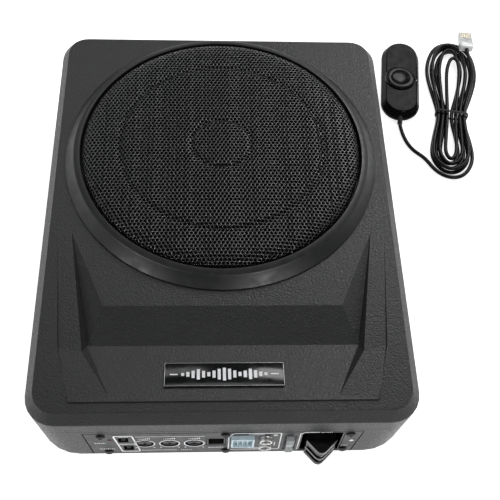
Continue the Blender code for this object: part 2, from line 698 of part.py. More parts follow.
def make_power_connector():
    """A deep recessed socket and the triangular-nosed plug that fills its lower part."""
    back = PANEL_BACK_Y + 24 * MM
    outer = 1 * MM
    case = box(
        (POWER_X - POWER_HALF_X - outer, FRONT_Y + 0.2 * MM, POWER_Z - POWER_HALF_Z - outer + GAP),
        (POWER_X + POWER_HALF_X + outer, back, POWER_Z + POWER_HALF_Z + outer - GAP),
    )
    socket = part("power_socket", case, "control_plastic")
    mouth = box(
        (POWER_X - POWER_HALF_X, FRONT_Y - 1 * MM, POWER_Z - POWER_HALF_Z),
        (POWER_X + POWER_HALF_X, back - 2 * MM, POWER_Z + POWER_HALF_Z),
    )
    boolean(socket, part("cut_power_mouth", mouth, "control_plastic"))
    low, high = 5 * MM, 30 * MM
    nose_y, root_y = FRONT_Y - 10 * MM, FRONT_Y - 1 * MM
    corners = [
        (54, root_y),
        (74.5, root_y),
        (66.2, nose_y + 1 * MM),
        (64, nose_y),
        (61.8, nose_y + 0.4 * MM),
        (60.4, nose_y + 1.6 * MM),
    ]
    nose = hull([(x * MM, y, z) for x, y in corners for z in (low, high)])
    plug = part("power_plug", nose, "control_plastic", origin=(POWER_X, FRONT_Y, 17 * MM))
    tenon = box((54.4 * MM, root_y - 1 * MM, 8.4 * MM), (73.8 * MM, FRONT_Y + 16 * MM, 29 * MM))
    boolean(plug, part("add_plug_tenon", tenon, "control_plastic"), "UNION")


def make_amplifier():
    """The board behind the panel with its heat sink, transformer and reservoir capacitors."""
    board_z = 10 * MM
    part(
        "circuit_board",
        box((-86 * MM, -130 * MM, board_z), (86 * MM, -72 * MM, board_z + 1.6 * MM)),
        "board_laminate",
    )
    sink = box((-84 * MM, -84 * MM, 12.2 * MM), (-10 * MM, -74 * MM, 34 * MM))
    heat_sink = part("heat_sink", sink, "aluminium")
    for index in range(8):
        x = (-80 + 9 * index) * MM
        groove = box((x, -85 * MM, 16 * MM), (x + 4 * MM, -79 * MM, 36 * MM))
        boolean(heat_sink, part(f"cut_fin_gap_{index + 1}", groove, "aluminium"))
    toroid = turned(ring_profile(6 * MM, 17 * MM, 12.2 * MM, 28 * MM), (35 * MM, -112 * MM), steps=32)
    part("toroid_coil", toroid, "copper_winding")
    for index, x in enumerate((-62 * MM, -38 * MM)):
        can = rod((x, -112 * MM, 12.2 * MM), (x, -112 * MM, 38 * MM), 9 * MM, sides=24)
        part(f"reservoir_capacitor_{index + 1}", can, "capacitor_sleeve")


def make_led():
    lens = rod(
        (LED_X, FRONT_Y - 0.6 * MM, LED_Z), (LED_X, PANEL_BACK_Y + 4 * MM, LED_Z), 1.5 * MM, sides=16
    )
    part("power_led", lens, "lens_red")


# ---------------------------------------------------------------- remote level control

def remote_place():
    return Matrix.Translation((*REMOTE_CENTRE, 0)) @ Matrix.Rotation(REMOTE_TURN, 4, "Z")


def stadium(half_width, half_length, steps=10):
    """A straight-sided outline with round ends along Y."""
    return rounded_outline(half_width, half_length, half_width - 0.01 * MM, steps)


def make_remote():
    half_w, half_l = REMOTE_WIDTH / 2, REMOTE_LENGTH / 2
    place = remote_place()
    base_top = 2.4 * MM
    base = lofted(
        [
            (0, stadium(half_w - 1.5 * MM, half_l - 1.5 * MM)),
            (base_top, stadium(half_w - 0.8 * MM, half_l - 0.8 * MM)),
        ],
    )
    base.transform(place)
    part("remote_base", base, "remote_plastic")
    low = base_top + GAP
    cover_levels = [
        (low, stadium(half_w, half_l)),
        (low + 2 * MM, stadium(half_w, half_l)),
        (REMOTE_HEIGHT - 0.8 * MM, stadium(half_w - 3 * MM, half_l - 3 * MM)),
        (REMOTE_HEIGHT, stadium(half_w - 4 * MM, half_l - 4 * MM)),
    ]
    shell = lofted(cover_levels)
    shell.transform(place)
    cover = part("remote_cover", shell, "remote_plastic")
    hollow = lofted(
        [
            (low - 1 * MM, stadium(half_w - 2 * MM, half_l - 2 * MM)),
            (REMOTE_HEIGHT - 3.4 * MM, stadium(half_w - 5 * MM, half_l - 5 * MM)),
        ],
    )
    hollow.transform(place)
    boolean(cover, part("cut_remote_hollow", hollow, "remote_plastic"))
    centre = (place @ Vector((*KNOB_OFFSET, 0)))[:2]
    dish = rod((*centre, REMOTE_HEIGHT - 1.2 * MM), (*centre, REMOTE_HEIGHT + 3 * MM), 13.6 * MM, sides=40)
    boolean(cover, part("cut_knob_seat", dish, "remote_plastic"))
    shaft_way = rod((*centre, 0), (*centre, REMOTE_HEIGHT + 1 * MM), 3.8 * MM, sides=20)
    boolean(cover, part("cut_shaft_way", shaft_way, "remote_plastic"))
    mouth_start = place @ Vector((0, -half_l - 2 * MM, 4.9 * MM))
    mouth_end = place @ Vector((0, -half_l + 8 * MM, 4.9 * MM))
    boolean(
        cover, part("cut_relief_mouth", rod(mouth_start, mouth_end, 2.6 * MM, sides=16), "remote_plastic")
    )
    pot = part(
        "remote_pot", rod((*centre, base_top + GAP), (*centre, 5.6 * MM), 3.2 * MM, sides=20), "zinc_steel"
    )
    stem = rod((*centre, 4 * MM), (*centre, REMOTE_HEIGHT), 1.5 * MM, sides=16)
    boolean(pot, part("add_remote_stem", stem, "zinc_steel"), "UNION")
    knob_profile = [
        (0, REMOTE_HEIGHT + 0.9 * MM), (6 * MM, REMOTE_HEIGHT + 1.1 * MM), (
            8 * MM, REMOTE_HEIGHT + 2.0 * MM
        ),
        (11.6 * MM, REMOTE_HEIGHT + 2.0 * MM), (12.6 * MM, REMOTE_HEIGHT + 1.2 * MM), (
            12.8 * MM, REMOTE_HEIGHT - 0.8 * MM
        ),
        (1.8 * MM, REMOTE_HEIGHT - 0.8 * MM), (1.8 * MM, REMOTE_HEIGHT + 0.4 * MM), (
            0, REMOTE_HEIGHT + 0.4 * MM
        ),
    ]
    knob = turned(knob_profile, centre, steps=40, closed=False)
    part("remote_knob", knob, "remote_plastic", origin=(*centre, REMOTE_HEIGHT))


def relief_axis():
    """The strain relief's start inside the case and its tip outside."""
    place = remote_place()
    height = 4.9 * MM
    tip_height = 2.6 * MM
    start = place @ Vector((0, -REMOTE_LENGTH / 2 + 6 * MM, height))
    mouth = place @ Vector((0, -REMOTE_LENGTH / 2 - 0.5 * MM, height))
    tip = place @ Vector((0, -REMOTE_LENGTH / 2 - 5 * MM, tip_height))
    return start, mouth, tip


def make_cord_relief():
    start, mouth, tip = relief_axis()
    relief = part("remote_cord_relief", rod(start, mouth, 2.1 * MM, sides=16), "soft_rubber")
    taper = rod(mouth + (start - mouth).normalized() * 1 * MM, tip, 2.1 * MM, 1.9 * MM, sides=16)
    boolean(relief, part("add_relief_taper", taper, "soft_rubber"), "UNION")


def smooth_route(stations, spacing):
    """Points at an even spacing along a smooth curve through the stations."""
    stations = [Vector(station) for station in stations]
    ends = [stations[0] * 2 - stations[1], *stations, stations[-1] * 2 - stations[-2]]
    fine = []
    for before, first, second, after in zip(ends, ends[1:], ends[2:], ends[3:]):
        for step in range(20):
            t = step / 20
            fine.append(
                0.5 * (2 * first + (second - before) * t
                       + (2 * before - 5 * first + 4 * second - after) * t**2
                       + (3 * first - before - 3 * second + after) * t**3)
            )
    fine.append(stations[-1])
    route, walked = [fine[0]], 0.0
    for previous, point in zip(fine, fine[1:]):
        walked += (point - previous).length
        if walked >= spacing:
            route.append(point)
            walked = 0.0
    if (route[-1] - fine[-1]).length > 0.3 * spacing:
        route.append(fine[-1])
    else:
        route[-1] = fine[-1]
    return route


LEAD_STATIONS = (
    (155.7, 123.0, 2.55), (156.2, 117.4, 1.95), (157.4, 111, 1.7), (159.6, 104.6, 1.7), (162.6, 98, 1.7),
    (166.2, 94.0, 1.7), (169.4, 92.1, 1.7), (172.4, 90.4, 1.7),
)


def hank_place():
    return Matrix.Translation((*HANK_FOOT, 0)) @ Matrix.Rotation(HANK_TURN, 4, "Z")


def hank_half_width(along):
    """Half the hank's width along its length: two rounded bundles pinched at the tie."""
    waist, lower, upper = 13.4 * MM, 21 * MM, 24 * MM
    if along < HANK_WAIST_V:
        share = (HANK_WAIST_V - along) / HANK_WAIST_V
        bulge = waist + (lower - waist) * math.sin(min(share / 0.62, 1) * math.pi / 2) ** 1.6
        end = max(0.0, 1 - ((share - 0.62) / 0.38) ** 2) if share > 0.62 else 1.0
    else:
        share = (along - HANK_WAIST_V) / (HANK_LENGTH - HANK_WAIST_V)
        bulge = waist + (upper - waist) * math.sin(min(share / 0.62, 1) * math.pi / 2) ** 1.6
        end = max(0.0, 1 - ((share - 0.62) / 0.38) ** 2) if share > 0.62 else 1.0
    return bulge * math.sqrt(end)


def hank_outline(steps=26):
    right = []
    for step in range(steps + 1):
        along = HANK_LENGTH * (1 - math.cos(math.pi * step / steps)) / 2
        right.append((hank_half_width(along), along))
    left = [(-half, along) for half, along in reversed(right[1:-1])]
    return right + left


def make_cord():
    curve = bpy.data.curves.new("remote_cord", "CURVE")
    curve.dimensions = "3D"
    curve.bevel_depth = CORD_DIAMETER / 2
    curve.bevel_resolution = 2
    curve.use_fill_caps = True
    spline = curve.splines.new("POLY")
    route = smooth_route([Vector(station) * MM for station in LEAD_STATIONS], 2.5 * CORD_DIAMETER)
    spline.points.add(len(route) - 1)
    for point, place in zip(spline.points, route):
        point.co = (*place, 1)
    curve.materials.append(finish("cord_jacket"))
    bpy.context.collection.objects.link(bpy.data.objects.new("remote_cord", curve))
    hank = lofted([(0, hank_outline()), (HANK_HEIGHT, hank_outline())])
    hank.transform(hank_place())
    part("cord_hank", hank, "cord_jacket")


def make_hank_tie():
    """A thin band over the hank's waist."""
    half, wall, width = 13.4 * MM + 1.0 * MM, 1.3 * MM, 3 * MM
    low, high = HANK_WAIST_V - width / 2, HANK_WAIST_V + width / 2
    band = box((-half - wall, low, 0), (half + wall, high, HANK_HEIGHT + GAP + wall))
    band.transform(hank_place())
    tie = part("hank_tie", band, "soft_rubber")
    inside = box((-half, low - 1 * MM, -1 * MM), (half, high + 1 * MM, HANK_HEIGHT + GAP))
    inside.transform(hank_place())
    boolean(tie, part("cut_tie_inside", inside, "soft_rubber"))


def make_modular_plug():
    """The clear plug at the cord's far end, lying on the hank."""
    low = HANK_HEIGHT + GAP
    place = Matrix.Translation((225.2 * MM, 216 * MM, 0)) @ Matrix.Rotation(math.radians(-3), 4, "Z")
    body = box((-5.8 * MM, -11 * MM, low), (5.8 * MM, 7.5 * MM, low + 6.6 * MM))
    body.transform(place)
    plug = part("modular_plug", body, "clear_nylon")
    way = rod(
        place @ Vector((0, -12 * MM, low + 3.3 * MM)),
        place @ Vector((0, -3 * MM, low + 3.3 * MM)),
        1.95 * MM,
        sides=12,
    )
    boolean(plug, part("cut_plug_way", way, "clear_nylon"))


# ---------------------------------------------------------------- build

def clear_scene():
    for obj in list(bpy.data.objects):
        bpy.data.objects.remove(obj, do_unlink=True)


clear_scene()
make_top_housing()
make_lower_housing()
make_grip_strips()
make_badge()
make_grille()
make_basket()
make_motor()
make_moving_cone()
make_suspension()
make_control_panel()
make_panel_screws()
make_pots()
make_switches()
make_sockets()
make_fuse()
make_power_connector()
make_amplifier()
make_led()
make_remote()
make_cord_relief()
make_cord()
make_hank_tie()
make_modular_plug()
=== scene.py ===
"""A flat powered car subwoofer with its wired remote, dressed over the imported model.

Blender works in metres, in the model's own frame: origin under the middle of the box, +Y to the rear.
The shape helpers take millimetres, and MM turns a millimetre into metres wherever a place is set.
"""

import math

import bmesh
import bpy
from mathutils import Matrix, Vector


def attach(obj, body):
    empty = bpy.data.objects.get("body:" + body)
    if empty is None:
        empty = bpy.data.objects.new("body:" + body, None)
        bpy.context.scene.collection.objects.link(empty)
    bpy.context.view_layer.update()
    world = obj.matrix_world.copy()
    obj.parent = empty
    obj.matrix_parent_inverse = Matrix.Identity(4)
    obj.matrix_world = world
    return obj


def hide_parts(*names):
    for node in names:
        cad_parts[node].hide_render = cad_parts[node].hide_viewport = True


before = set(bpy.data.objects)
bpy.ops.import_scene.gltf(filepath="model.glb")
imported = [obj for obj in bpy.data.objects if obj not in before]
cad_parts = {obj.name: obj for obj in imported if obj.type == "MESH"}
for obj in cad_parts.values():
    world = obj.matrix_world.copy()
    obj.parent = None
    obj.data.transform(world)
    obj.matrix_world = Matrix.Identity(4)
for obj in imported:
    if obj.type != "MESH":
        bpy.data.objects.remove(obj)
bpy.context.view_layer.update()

MM = 0.001

# ---------------------------------------------------------------- camera
# Looks down on the box from the front, a little to its left, as for a catalogue picture.

CAMERA_PLACE = Vector((-0.01308, -0.34267, 0.56643))
CAMERA_PITCH = math.radians(58.7414)
CAMERA_YAW = math.radians(6.0146)
CAMERA_ROLL = math.radians(-5.1364)
CAMERA_LENS = 61.17


def camera_matrix():
    forward = Vector((
        math.sin(CAMERA_YAW) * math.cos(CAMERA_PITCH),
        math.cos(CAMERA_YAW) * math.cos(CAMERA_PITCH),
        -math.sin(CAMERA_PITCH),
    ))
    level_right = Vector((math.cos(CAMERA_YAW), -math.sin(CAMERA_YAW), 0))
    level_down = forward.cross(level_right)
    right = math.cos(CAMERA_ROLL) * level_right + math.sin(CAMERA_ROLL) * level_down
    down = -math.sin(CAMERA_ROLL) * level_right + math.cos(CAMERA_ROLL) * level_down
    turn = Matrix((right, -down, -forward)).transposed().to_4x4()
    return Matrix.Translation(CAMERA_PLACE) @ turn


camera_data = bpy.data.cameras.new("catalogue_camera")
camera_data.lens = CAMERA_LENS
camera_data.sensor_width = 36
camera_data.clip_start = 0.01
camera = bpy.data.objects.new("catalogue_camera", camera_data)
camera.matrix_world = camera_matrix()
bpy.context.scene.collection.objects.link(camera)
bpy.context.scene.camera = camera

# ---------------------------------------------------------------- studio
# A white sweep under an even bright sky, with a long soft box behind and one to the right.
# The low light from behind and the sides is what shows up the bevels and the grain.


def simple_material(name, colour, roughness, metallic=0.0):
    material = bpy.data.materials.new(name)
    material.use_nodes = True
    shader = material.node_tree.nodes["Principled BSDF"]
    shader.inputs["Base Color"].default_value = (*colour, 1)
    shader.inputs["Roughness"].default_value = roughness
    shader.inputs["Metallic"].default_value = metallic
    return material


def link(node_tree, source, output, target, socket):
    node_tree.links.new(source.outputs[output], target.inputs[socket])


def add_floor():
    shape = bmesh.new()
    bmesh.ops.create_grid(shape, x_segments=1, y_segments=1, size=6)
    mesh = bpy.data.meshes.new("studio_floor")
    shape.to_mesh(mesh)
    shape.free()
    floor = bpy.data.objects.new("studio_floor", mesh)
    floor.location.z = -0.0005
    white = simple_material("studio_white", (0.93, 0.93, 0.93), 0.9)
    sweep = white.node_tree.nodes["Principled BSDF"]
    sweep.inputs["Emission Color"].default_value = (1, 1, 1, 1)
    sweep.inputs["Emission Strength"].default_value = 0.75
    mesh.materials.append(white)
    bpy.context.scene.collection.objects.link(floor)


def add_softbox(name, place, target, width, height, power):
    light = bpy.data.lights.new(name, "AREA")
    light.shape = "RECTANGLE"
    light.size = width
    light.size_y = height
    light.energy = power
    lamp = bpy.data.objects.new(name, light)
    aim = Vector(target) - Vector(place)
    turn = aim.to_track_quat("-Z", "Y").to_matrix().to_4x4()
    lamp.matrix_world = Matrix.Translation(place) @ turn
    bpy.context.scene.collection.objects.link(lamp)


def add_sky():
    """A dim cool sky lights the box, while the lens sees plain white past the floor."""
    sky = bpy.data.worlds.new("studio_sky")
    sky.use_nodes = True
    tree = sky.node_tree
    lighting = tree.nodes["Background"]
    lighting.inputs["Color"].default_value = (0.92, 0.97, 1, 1)
    lighting.inputs["Strength"].default_value = 0.18
    seen = tree.nodes.new("ShaderNodeBackground")
    seen.inputs["Color"].default_value = (1, 1, 1, 1)
    choice = tree.nodes.new("ShaderNodeMixShader")
    link(tree, tree.nodes.new("ShaderNodeLightPath"), "Is Camera Ray", choice, "Fac")
    link(tree, lighting, "Background", choice, 1)
    link(tree, seen, "Background", choice, 2)
    link(tree, choice, "Shader", tree.nodes["World Output"], "Surface")
    bpy.context.scene.world = sky


add_floor()
add_softbox("right_back_box", (0.66, 0.98, 1.12), (0.08, -0.13, 0.05), 0.7, 0.5, 10.5)
add_softbox("left_back_strip", (-0.5, 1.1, 1.05), (0, -0.1, 0.05), 0.7, 0.35, 2.6)
add_softbox("overhead_strip", (0.0, 0.50, 1.5), (0, -0.1, 0.05), 1.3, 0.18, 2.4)
add_softbox("right_box", (1.3, 0.3, 0.45), (0, 0, 0.05), 0.9, 0.5, 1.5)
add_softbox("left_strip", (-1.3, 0.3, 0.35), (0, 0, 0.05), 1.0, 0.35, 2)
add_softbox("right_front_glint", (0.50, -0.95, 0.72), (0.03, 0, 0.07), 0.16, 0.12, 4.2)
add_softbox("left_front_glint", (-0.80, -0.62, 0.66), (-0.03, 0, 0.07), 0.14, 0.10, 3.0)
add_sky()
bpy.context.scene.view_settings.view_transform = "Standard"

# ---------------------------------------------------------------- remote's cord
# One limp round cable in black PVC, about two metres long. It leaves the remote through its strain
# relief, lies on the floor, and is wound into a flat double layer that a rubber band holds at its waist.

CORD_DIAMETER = 3.3 * MM
HANK_FOOT = (191.2 * MM, 66 * MM)
HANK_TURN = math.radians(-8.7)
LEAD_STATIONS = (
    (155.7, 123.0, 2.55), (156.2, 117.4, 1.95), (157.4, 111, 1.7), (159.6, 104.6, 1.7),
    (162.6, 98, 1.7), (166.2, 94.0, 1.7), (169.4, 92.1, 1.7), (172.4, 90.4, 1.7),
)
ENTRY_STATIONS = (
    (-19.8, 18.4, 1.7), (-17.4, 13.8, 1.7), (-14.0, 9.4, 1.7), (-9.2, 5.2, 1.7),
    (-3.0, 2.7, 1.7), (4.5, 2.4, 1.7), (12.8, 7.4, 1.7),
)
TO_PLUG_STATIONS = (
    (10.5, 68, 5.1), (13.4, 86, 5.1), (17.2, 104, 5.9), (17.6, 118, 8.6),
    (15.2, 130, 10.7), (12.7, 138, 11.2), (12.0, 143, 11.2), (11.3, 149.5, 11.2),
)
FLOOR_LAYER_Z, UPPER_LAYER_Z = 1.7, 5.1
WAIST_V, LOW_BULGE_V, HIGH_BULGE_V = 68, 25, 118
WAIST_PITCH = 3.5
HANK_BOTTOM_V, HANK_TOP_V = 2.6, 156.0
FINE_STEPS, EASING_PASSES = 20, 14


def hank_place():
    return Matrix.Translation((*HANK_FOOT, 0)) @ Matrix.Rotation(HANK_TURN, 4, "Z")


def up_run(waist, low, high, level):
    """Stations of one run from the lower bulge to the upper one, through the band."""
    return [
        (low, LOW_BULGE_V, level),
        (low * 0.55 + waist * 0.45, 48, level),
        (waist, WAIST_V, level),
        (low * 0.15 + waist * 0.5 + high * 0.35, 88, level),
        (high, HIGH_BULGE_V, level),
    ]


def loop_over(first, second, end_v, away, level):
    """A round end from one side of the hank to the other: away is +1 at the top and -1 at the bottom."""
    middle = (first + second) / 2
    depth = 12.5 if away > 0 else 9.5
    shallow = 0.21 * depth
    return [
        (middle + 0.80 * (first - middle), end_v - away * depth, level),
        (middle + 0.42 * (first - middle), end_v - away * shallow, level),
        (middle, end_v, level),
        (middle + 0.42 * (second - middle), end_v - away * shallow, level),
        (middle + 0.80 * (second - middle), end_v - away * depth, level),
    ]


def floor_layer():
    """Three and a half turns wound inwards on the floor; the last run climbs to the second layer."""
    low_right, high_right = (19.0, 15.5, 12.0, 7.2), (22.0, 18.0, 13.9, 8.6)
    low_left, high_left = (-16.2, -12.8, -9.4), (-22.0, -18.0, -13.9)
    stations = []
    for turn in range(3):
        waist = (3 - turn) * WAIST_PITCH
        stations += up_run(waist, low_right[turn], high_right[turn], FLOOR_LAYER_Z)
        high_end = HANK_TOP_V - 4.0 * turn
        stations += loop_over(high_right[turn], high_left[turn], high_end, 1, FLOOR_LAYER_Z)
        stations += reversed(up_run(-waist, low_left[turn], high_left[turn], FLOOR_LAYER_Z))
        low_end = HANK_BOTTOM_V + 3.9 * (turn + 1)
        stations += loop_over(low_left[turn], low_right[turn + 1], low_end, -1, FLOOR_LAYER_Z)
    climb = up_run(0.0, low_right[3], high_right[3], FLOOR_LAYER_Z)
    heights = (0, 0, 0, 0.6, UPPER_LAYER_Z - FLOOR_LAYER_Z - 0.6)
    stations += [(x, v, z + rise) for (x, v, z), rise in zip(climb, heights)]
    return stations


def upper_layer():
    """Three turns wound outwards over the first layer, a little shorter and set to one side."""
    low_left, high_left = (-15.6, -10.4, -5.2), (-17.8, -11.2, -4.4)
    low_right, high_right = (15.0, 9.8, 4.6), (18.6, 12.6, 7.0)
    stations = loop_over(8.4, high_left[2], HANK_TOP_V - 17.0, 1, UPPER_LAYER_Z)
    for turn in (2, 1, 0):
        waist = (3 - turn) * WAIST_PITCH
        stations += reversed(up_run(-waist, low_left[turn], high_left[turn], UPPER_LAYER_Z))
        low_end = HANK_BOTTOM_V + 5.6 + 4.2 * turn
        stations += loop_over(low_left[turn], low_right[turn], low_end, -1, UPPER_LAYER_Z)
        if turn:
            stations += up_run(waist, low_right[turn], high_right[turn], UPPER_LAYER_Z)
            high_end = HANK_TOP_V - 3.2 - 5.0 * (turn - 1)
            stations += loop_over(high_right[turn], high_left[turn - 1], high_end, 1, UPPER_LAYER_Z)
    return stations + up_run(3 * WAIST_PITCH, low_right[0], high_right[0], UPPER_LAYER_Z)[:2]


def smooth_route(stations, spacing):
    """Points at an even spacing along a smooth curve through the stations."""
    stations = [Vector(station) for station in stations]
    ends = [stations[0] * 2 - stations[1], *stations, stations[-1] * 2 - stations[-2]]
    fine = []
    for before, first, second, after in zip(ends, ends[1:], ends[2:], ends[3:]):
        pull, bend = 2 * before - 5 * first + 4 * second - after, 3 * first - before - 3 * second + after
        for step in range(FINE_STEPS):
            t = step / FINE_STEPS
            fine.append(0.5 * (2 * first + (second - before) * t + pull * t**2 + bend * t**3))
    fine.append(stations[-1])
    route, walked = [fine[0]], 0.0
    for previous, point in zip(fine, fine[1:]):
        walked += (point - previous).length
        if walked >= spacing:
            route.append(point)
            walked = 0.0
    route[-1] = fine[-1]
    for _ in range(EASING_PASSES):
        inner = [(a + b * 2 + c) / 4 for a, b, c in zip(route, route[1:], route[2:])]
        route = [route[0], *inner, route[-1]]
    return route


def new_finish(name, colour, roughness, metallic=0.0):
    """A Principled material and its node tree, ready for grain and variation."""
    material = simple_material(name, colour, roughness, metallic)
    tree = material.node_tree
    place = tree.nodes.new("ShaderNodeTexCoord")
    return material, tree, tree.nodes["Principled BSDF"], place


def add_noise(tree, place, scale, detail=3.0, roughness=0.5):
    noise = tree.nodes.new("ShaderNodeTexNoise")
    noise.inputs["Scale"].default_value = scale
    noise.inputs["Detail"].default_value = detail
    noise.inputs["Roughness"].default_value = roughness
    link(tree, place, "Object", noise, "Vector")
    return noise


def vary_colour(tree, shader, source, output, dark, light, low=0.3, high=0.7):
    """Base colour between two shades, by a pattern."""
    ramp = tree.nodes.new("ShaderNodeValToRGB")
    ramp.color_ramp.elements[0].position = low
    ramp.color_ramp.elements[0].color = (*dark, 1)
    ramp.color_ramp.elements[1].position = high
    ramp.color_ramp.elements[1].color = (*light, 1)
    link(tree, source, output, ramp, "Fac")
    link(tree, ramp, "Color", shader, "Base Color")


def vary_roughness(tree, shader, source, output, low, high):
    spread = tree.nodes.new("ShaderNodeMapRange")
    spread.inputs["From Min"].default_value = 0.3
    spread.inputs["From Max"].default_value = 0.7
    spread.inputs["To Min"].default_value = low
    spread.inputs["To Max"].default_value = high
    link(tree, source, output, spread, "Value")
    link(tree, spread, "Result", shader, "Roughness")


def add_bump(tree, shader, source, output, strength, distance):
    bump = tree.nodes.new("ShaderNodeBump")
    bump.inputs["Strength"].default_value = strength
    bump.inputs["Distance"].default_value = distance
    link(tree, source, output, bump, "Height")
    link(tree, bump, "Normal", shader, "Normal")
    return bump


def cord_pvc():
    material, tree, shader, place = new_finish("cord_pvc", (0.006, 0.006, 0.006), 0.24)
    shader.inputs["Specular IOR Level"].default_value = 0.14
    scuffs = add_noise(tree, place, 900)
    vary_colour(tree, shader, scuffs, "Fac", (0.003, 0.003, 0.0035), (0.008, 0.008, 0.0085))
    vary_roughness(tree, shader, scuffs, "Fac", 0.18, 0.32)
    add_bump(tree, shader, add_noise(tree, place, 2600), "Fac", 0.25, 0.0001)
    return material


def round_cord(name, route, radius, material, resolution, closed=False):
    """A round cord of even thickness along the points of its route."""
    curve = bpy.data.curves.new(name, "CURVE")
    curve.dimensions = "3D"
    curve.bevel_depth = radius
    curve.bevel_resolution = resolution
    curve.use_fill_caps = not closed
    curve.materials.append(material)
    spline = curve.splines.new("POLY")
    spline.use_cyclic_u = closed
    spline.points.add(len(route) - 1)
    for point, where in zip(spline.points, route):
        point.co = (*where, 1)
    spline.use_smooth = True
    piece = bpy.data.objects.new(name, curve)
    bpy.context.scene.collection.objects.link(piece)
    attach(piece, "root")
    return piece


hank_at = hank_place()
in_hank = [*ENTRY_STATIONS, *floor_layer(), *upper_layer(), *TO_PLUG_STATIONS]
lead = [Vector(station) * MM for station in LEAD_STATIONS]
wound = [hank_at @ (Vector(station) * MM) for station in in_hank]
cord_route = smooth_route(lead + wound, 2.0 * MM)
remote_cord_wound = round_cord("remote_cord_wound", cord_route, CORD_DIAMETER / 2, cord_pvc(), 4)
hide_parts("remote_cord", "cord_hank")

# ---------------------------------------------------------------- rubber band and plug on the cord
# A round rubber band, pulled round the waist of the winding. The plug is a clear moulded
# six-way telephone type, with gilt contacts and a sprung latch, crimped onto the cord's end.

BAND_RADIUS = 0.85


def new_piece(name, shape, material, body, replaced=(), smooth_below=35):
    """A piece made from a bmesh in the model's frame. It rides on a body and may stand for CAD nodes."""
    mesh = bpy.data.meshes.new(name)
    shape.to_mesh(mesh)
    shape.free()
    mesh.shade_smooth()
    mesh.set_sharp_from_angle(angle=math.radians(smooth_below))
    for one in material if isinstance(material, list) else [material]:
        mesh.materials.append(one)
    piece = bpy.data.objects.new(name, mesh)
    bpy.context.scene.collection.objects.link(piece)
    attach(piece, body)
    if replaced:
        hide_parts(*replaced)
    return piece


def outward(shape):
    bmesh.ops.remove_doubles(shape, verts=shape.verts, dist=1e-7)
    shape.normal_update()
    bmesh.ops.recalc_face_normals(shape, faces=shape.faces)
    return shape


def add_block(shape, low, high, round_edges=0.0, steps=2):
    """A box between two corners, with its edges rounded, all in millimetres."""
    low, high = Vector([value * MM for value in low]), Vector([value * MM for value in high])
    place = Matrix.Translation((low + high) / 2) @ Matrix.Diagonal((*(high - low), 1))
    corners = bmesh.ops.create_cube(shape, size=1, matrix=place)["verts"]
    if round_edges:
        edges = list({edge for vert in corners for edge in vert.link_edges})
        bmesh.ops.bevel(
            shape, geom=edges, offset=round_edges * MM, segments=steps,
            profile=0.5, affect="EDGES", material=-1,
        )


def block(low, high, round_edges=0.0, steps=2):
    shape = bmesh.new()
    add_block(shape, low, high, round_edges, steps)
    return shape


def add_rod(shape, start, end, radius, end_radius=None, sides=32):
    """A round rod between two points, straight or tapered, all in millimetres."""
    start, end = Vector(start) * MM, Vector(end) * MM
    along = end - start
    turn = along.to_track_quat("Z", "Y").to_matrix().to_4x4()
    tip = radius if end_radius is None else end_radius
    bmesh.ops.create_cone(
        shape, cap_ends=True, segments=sides, radius1=radius * MM, radius2=tip * MM,
        depth=along.length, matrix=Matrix.Translation((start + end) / 2) @ turn,
    )


def turned(profile, place, steps=64, closed=False):
    """A shape turned about its own Z axis from (radius, height) points in millimetres, then put in place."""
    shape = bmesh.new()
    corners = [shape.verts.new((radius * MM, 0, height * MM)) for radius, height in profile]
    edges = [shape.edges.new(pair) for pair in zip(corners, corners[1:])]
    if closed:
        edges.append(shape.edges.new((corners[-1], corners[0])))
    bmesh.ops.spin(
        shape, geom=corners + edges, cent=(0, 0, 0), axis=(0, 0, 1),
        angle=math.tau, steps=steps, use_merge=True,
    )
    bmesh.ops.remove_doubles(shape, verts=shape.verts, dist=1e-6)
    shape.transform(place)
    return outward(shape)


def rubber(name, colour, roughness):
    material, tree, shader, place = new_finish(name, colour, roughness)
    blotches = add_noise(tree, place, 350)
    vary_roughness(tree, shader, blotches, "Fac", roughness - 0.1, roughness + 0.12)
    add_bump(tree, shader, add_noise(tree, place, 1800, 4), "Fac", 0.3, 0.00012)
    return material


def band_route():
    """A rounded rectangle round the winding's waist, a little aslant."""
    half, top, low, bend = 13.5, 8.7, BAND_RADIUS + 0.05, 2.6
    outline = []
    for centre_x, centre_z, first in (
        (half - bend, top - bend, 0),
        (-half + bend, top - bend, 90),
        (-half + bend, low + bend, 180),
        (half - bend, low + bend, 270),
    ):
        for step in range(7):
            angle = math.radians(first + 15 * step)
            outline.append((centre_x + bend * math.cos(angle), centre_z + bend * math.sin(angle)))
    route = []
    for index, (x, z) in enumerate(outline):
        slant = 0.9 * math.sin(math.tau * index / len(outline))
        route.append(hank_place() @ (Vector((x, WAIST_V + slant, z)) * MM))
    return route


band_rubber = rubber("band_rubber", (0.012, 0.012, 0.012), 0.5)
rubber_band = round_cord("rubber_band", band_route(), BAND_RADIUS * MM, band_rubber, 3, closed=True)
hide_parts("hank_tie")

PLUG_PLACE = Matrix.Translation((225.2 * MM, 216 * MM, 0)) @ Matrix.Rotation(math.radians(-3), 4, "Z")
CONTACT_PITCH = 1.6


def clear_plastic(name, colour, roughness, through):
    material, tree, shader, place = new_finish(name, colour, roughness)
    shader.inputs["Transmission Weight"].default_value = through
    cloud = add_noise(tree, place, 240)
    vary_colour(tree, shader, cloud, "Fac", [channel * 0.82 for channel in colour], colour)
    vary_roughness(tree, shader, cloud, "Fac", roughness - 0.06, roughness + 0.1)
    add_bump(tree, shader, add_noise(tree, place, 500), "Fac", 0.2, 0.0001)
    return material


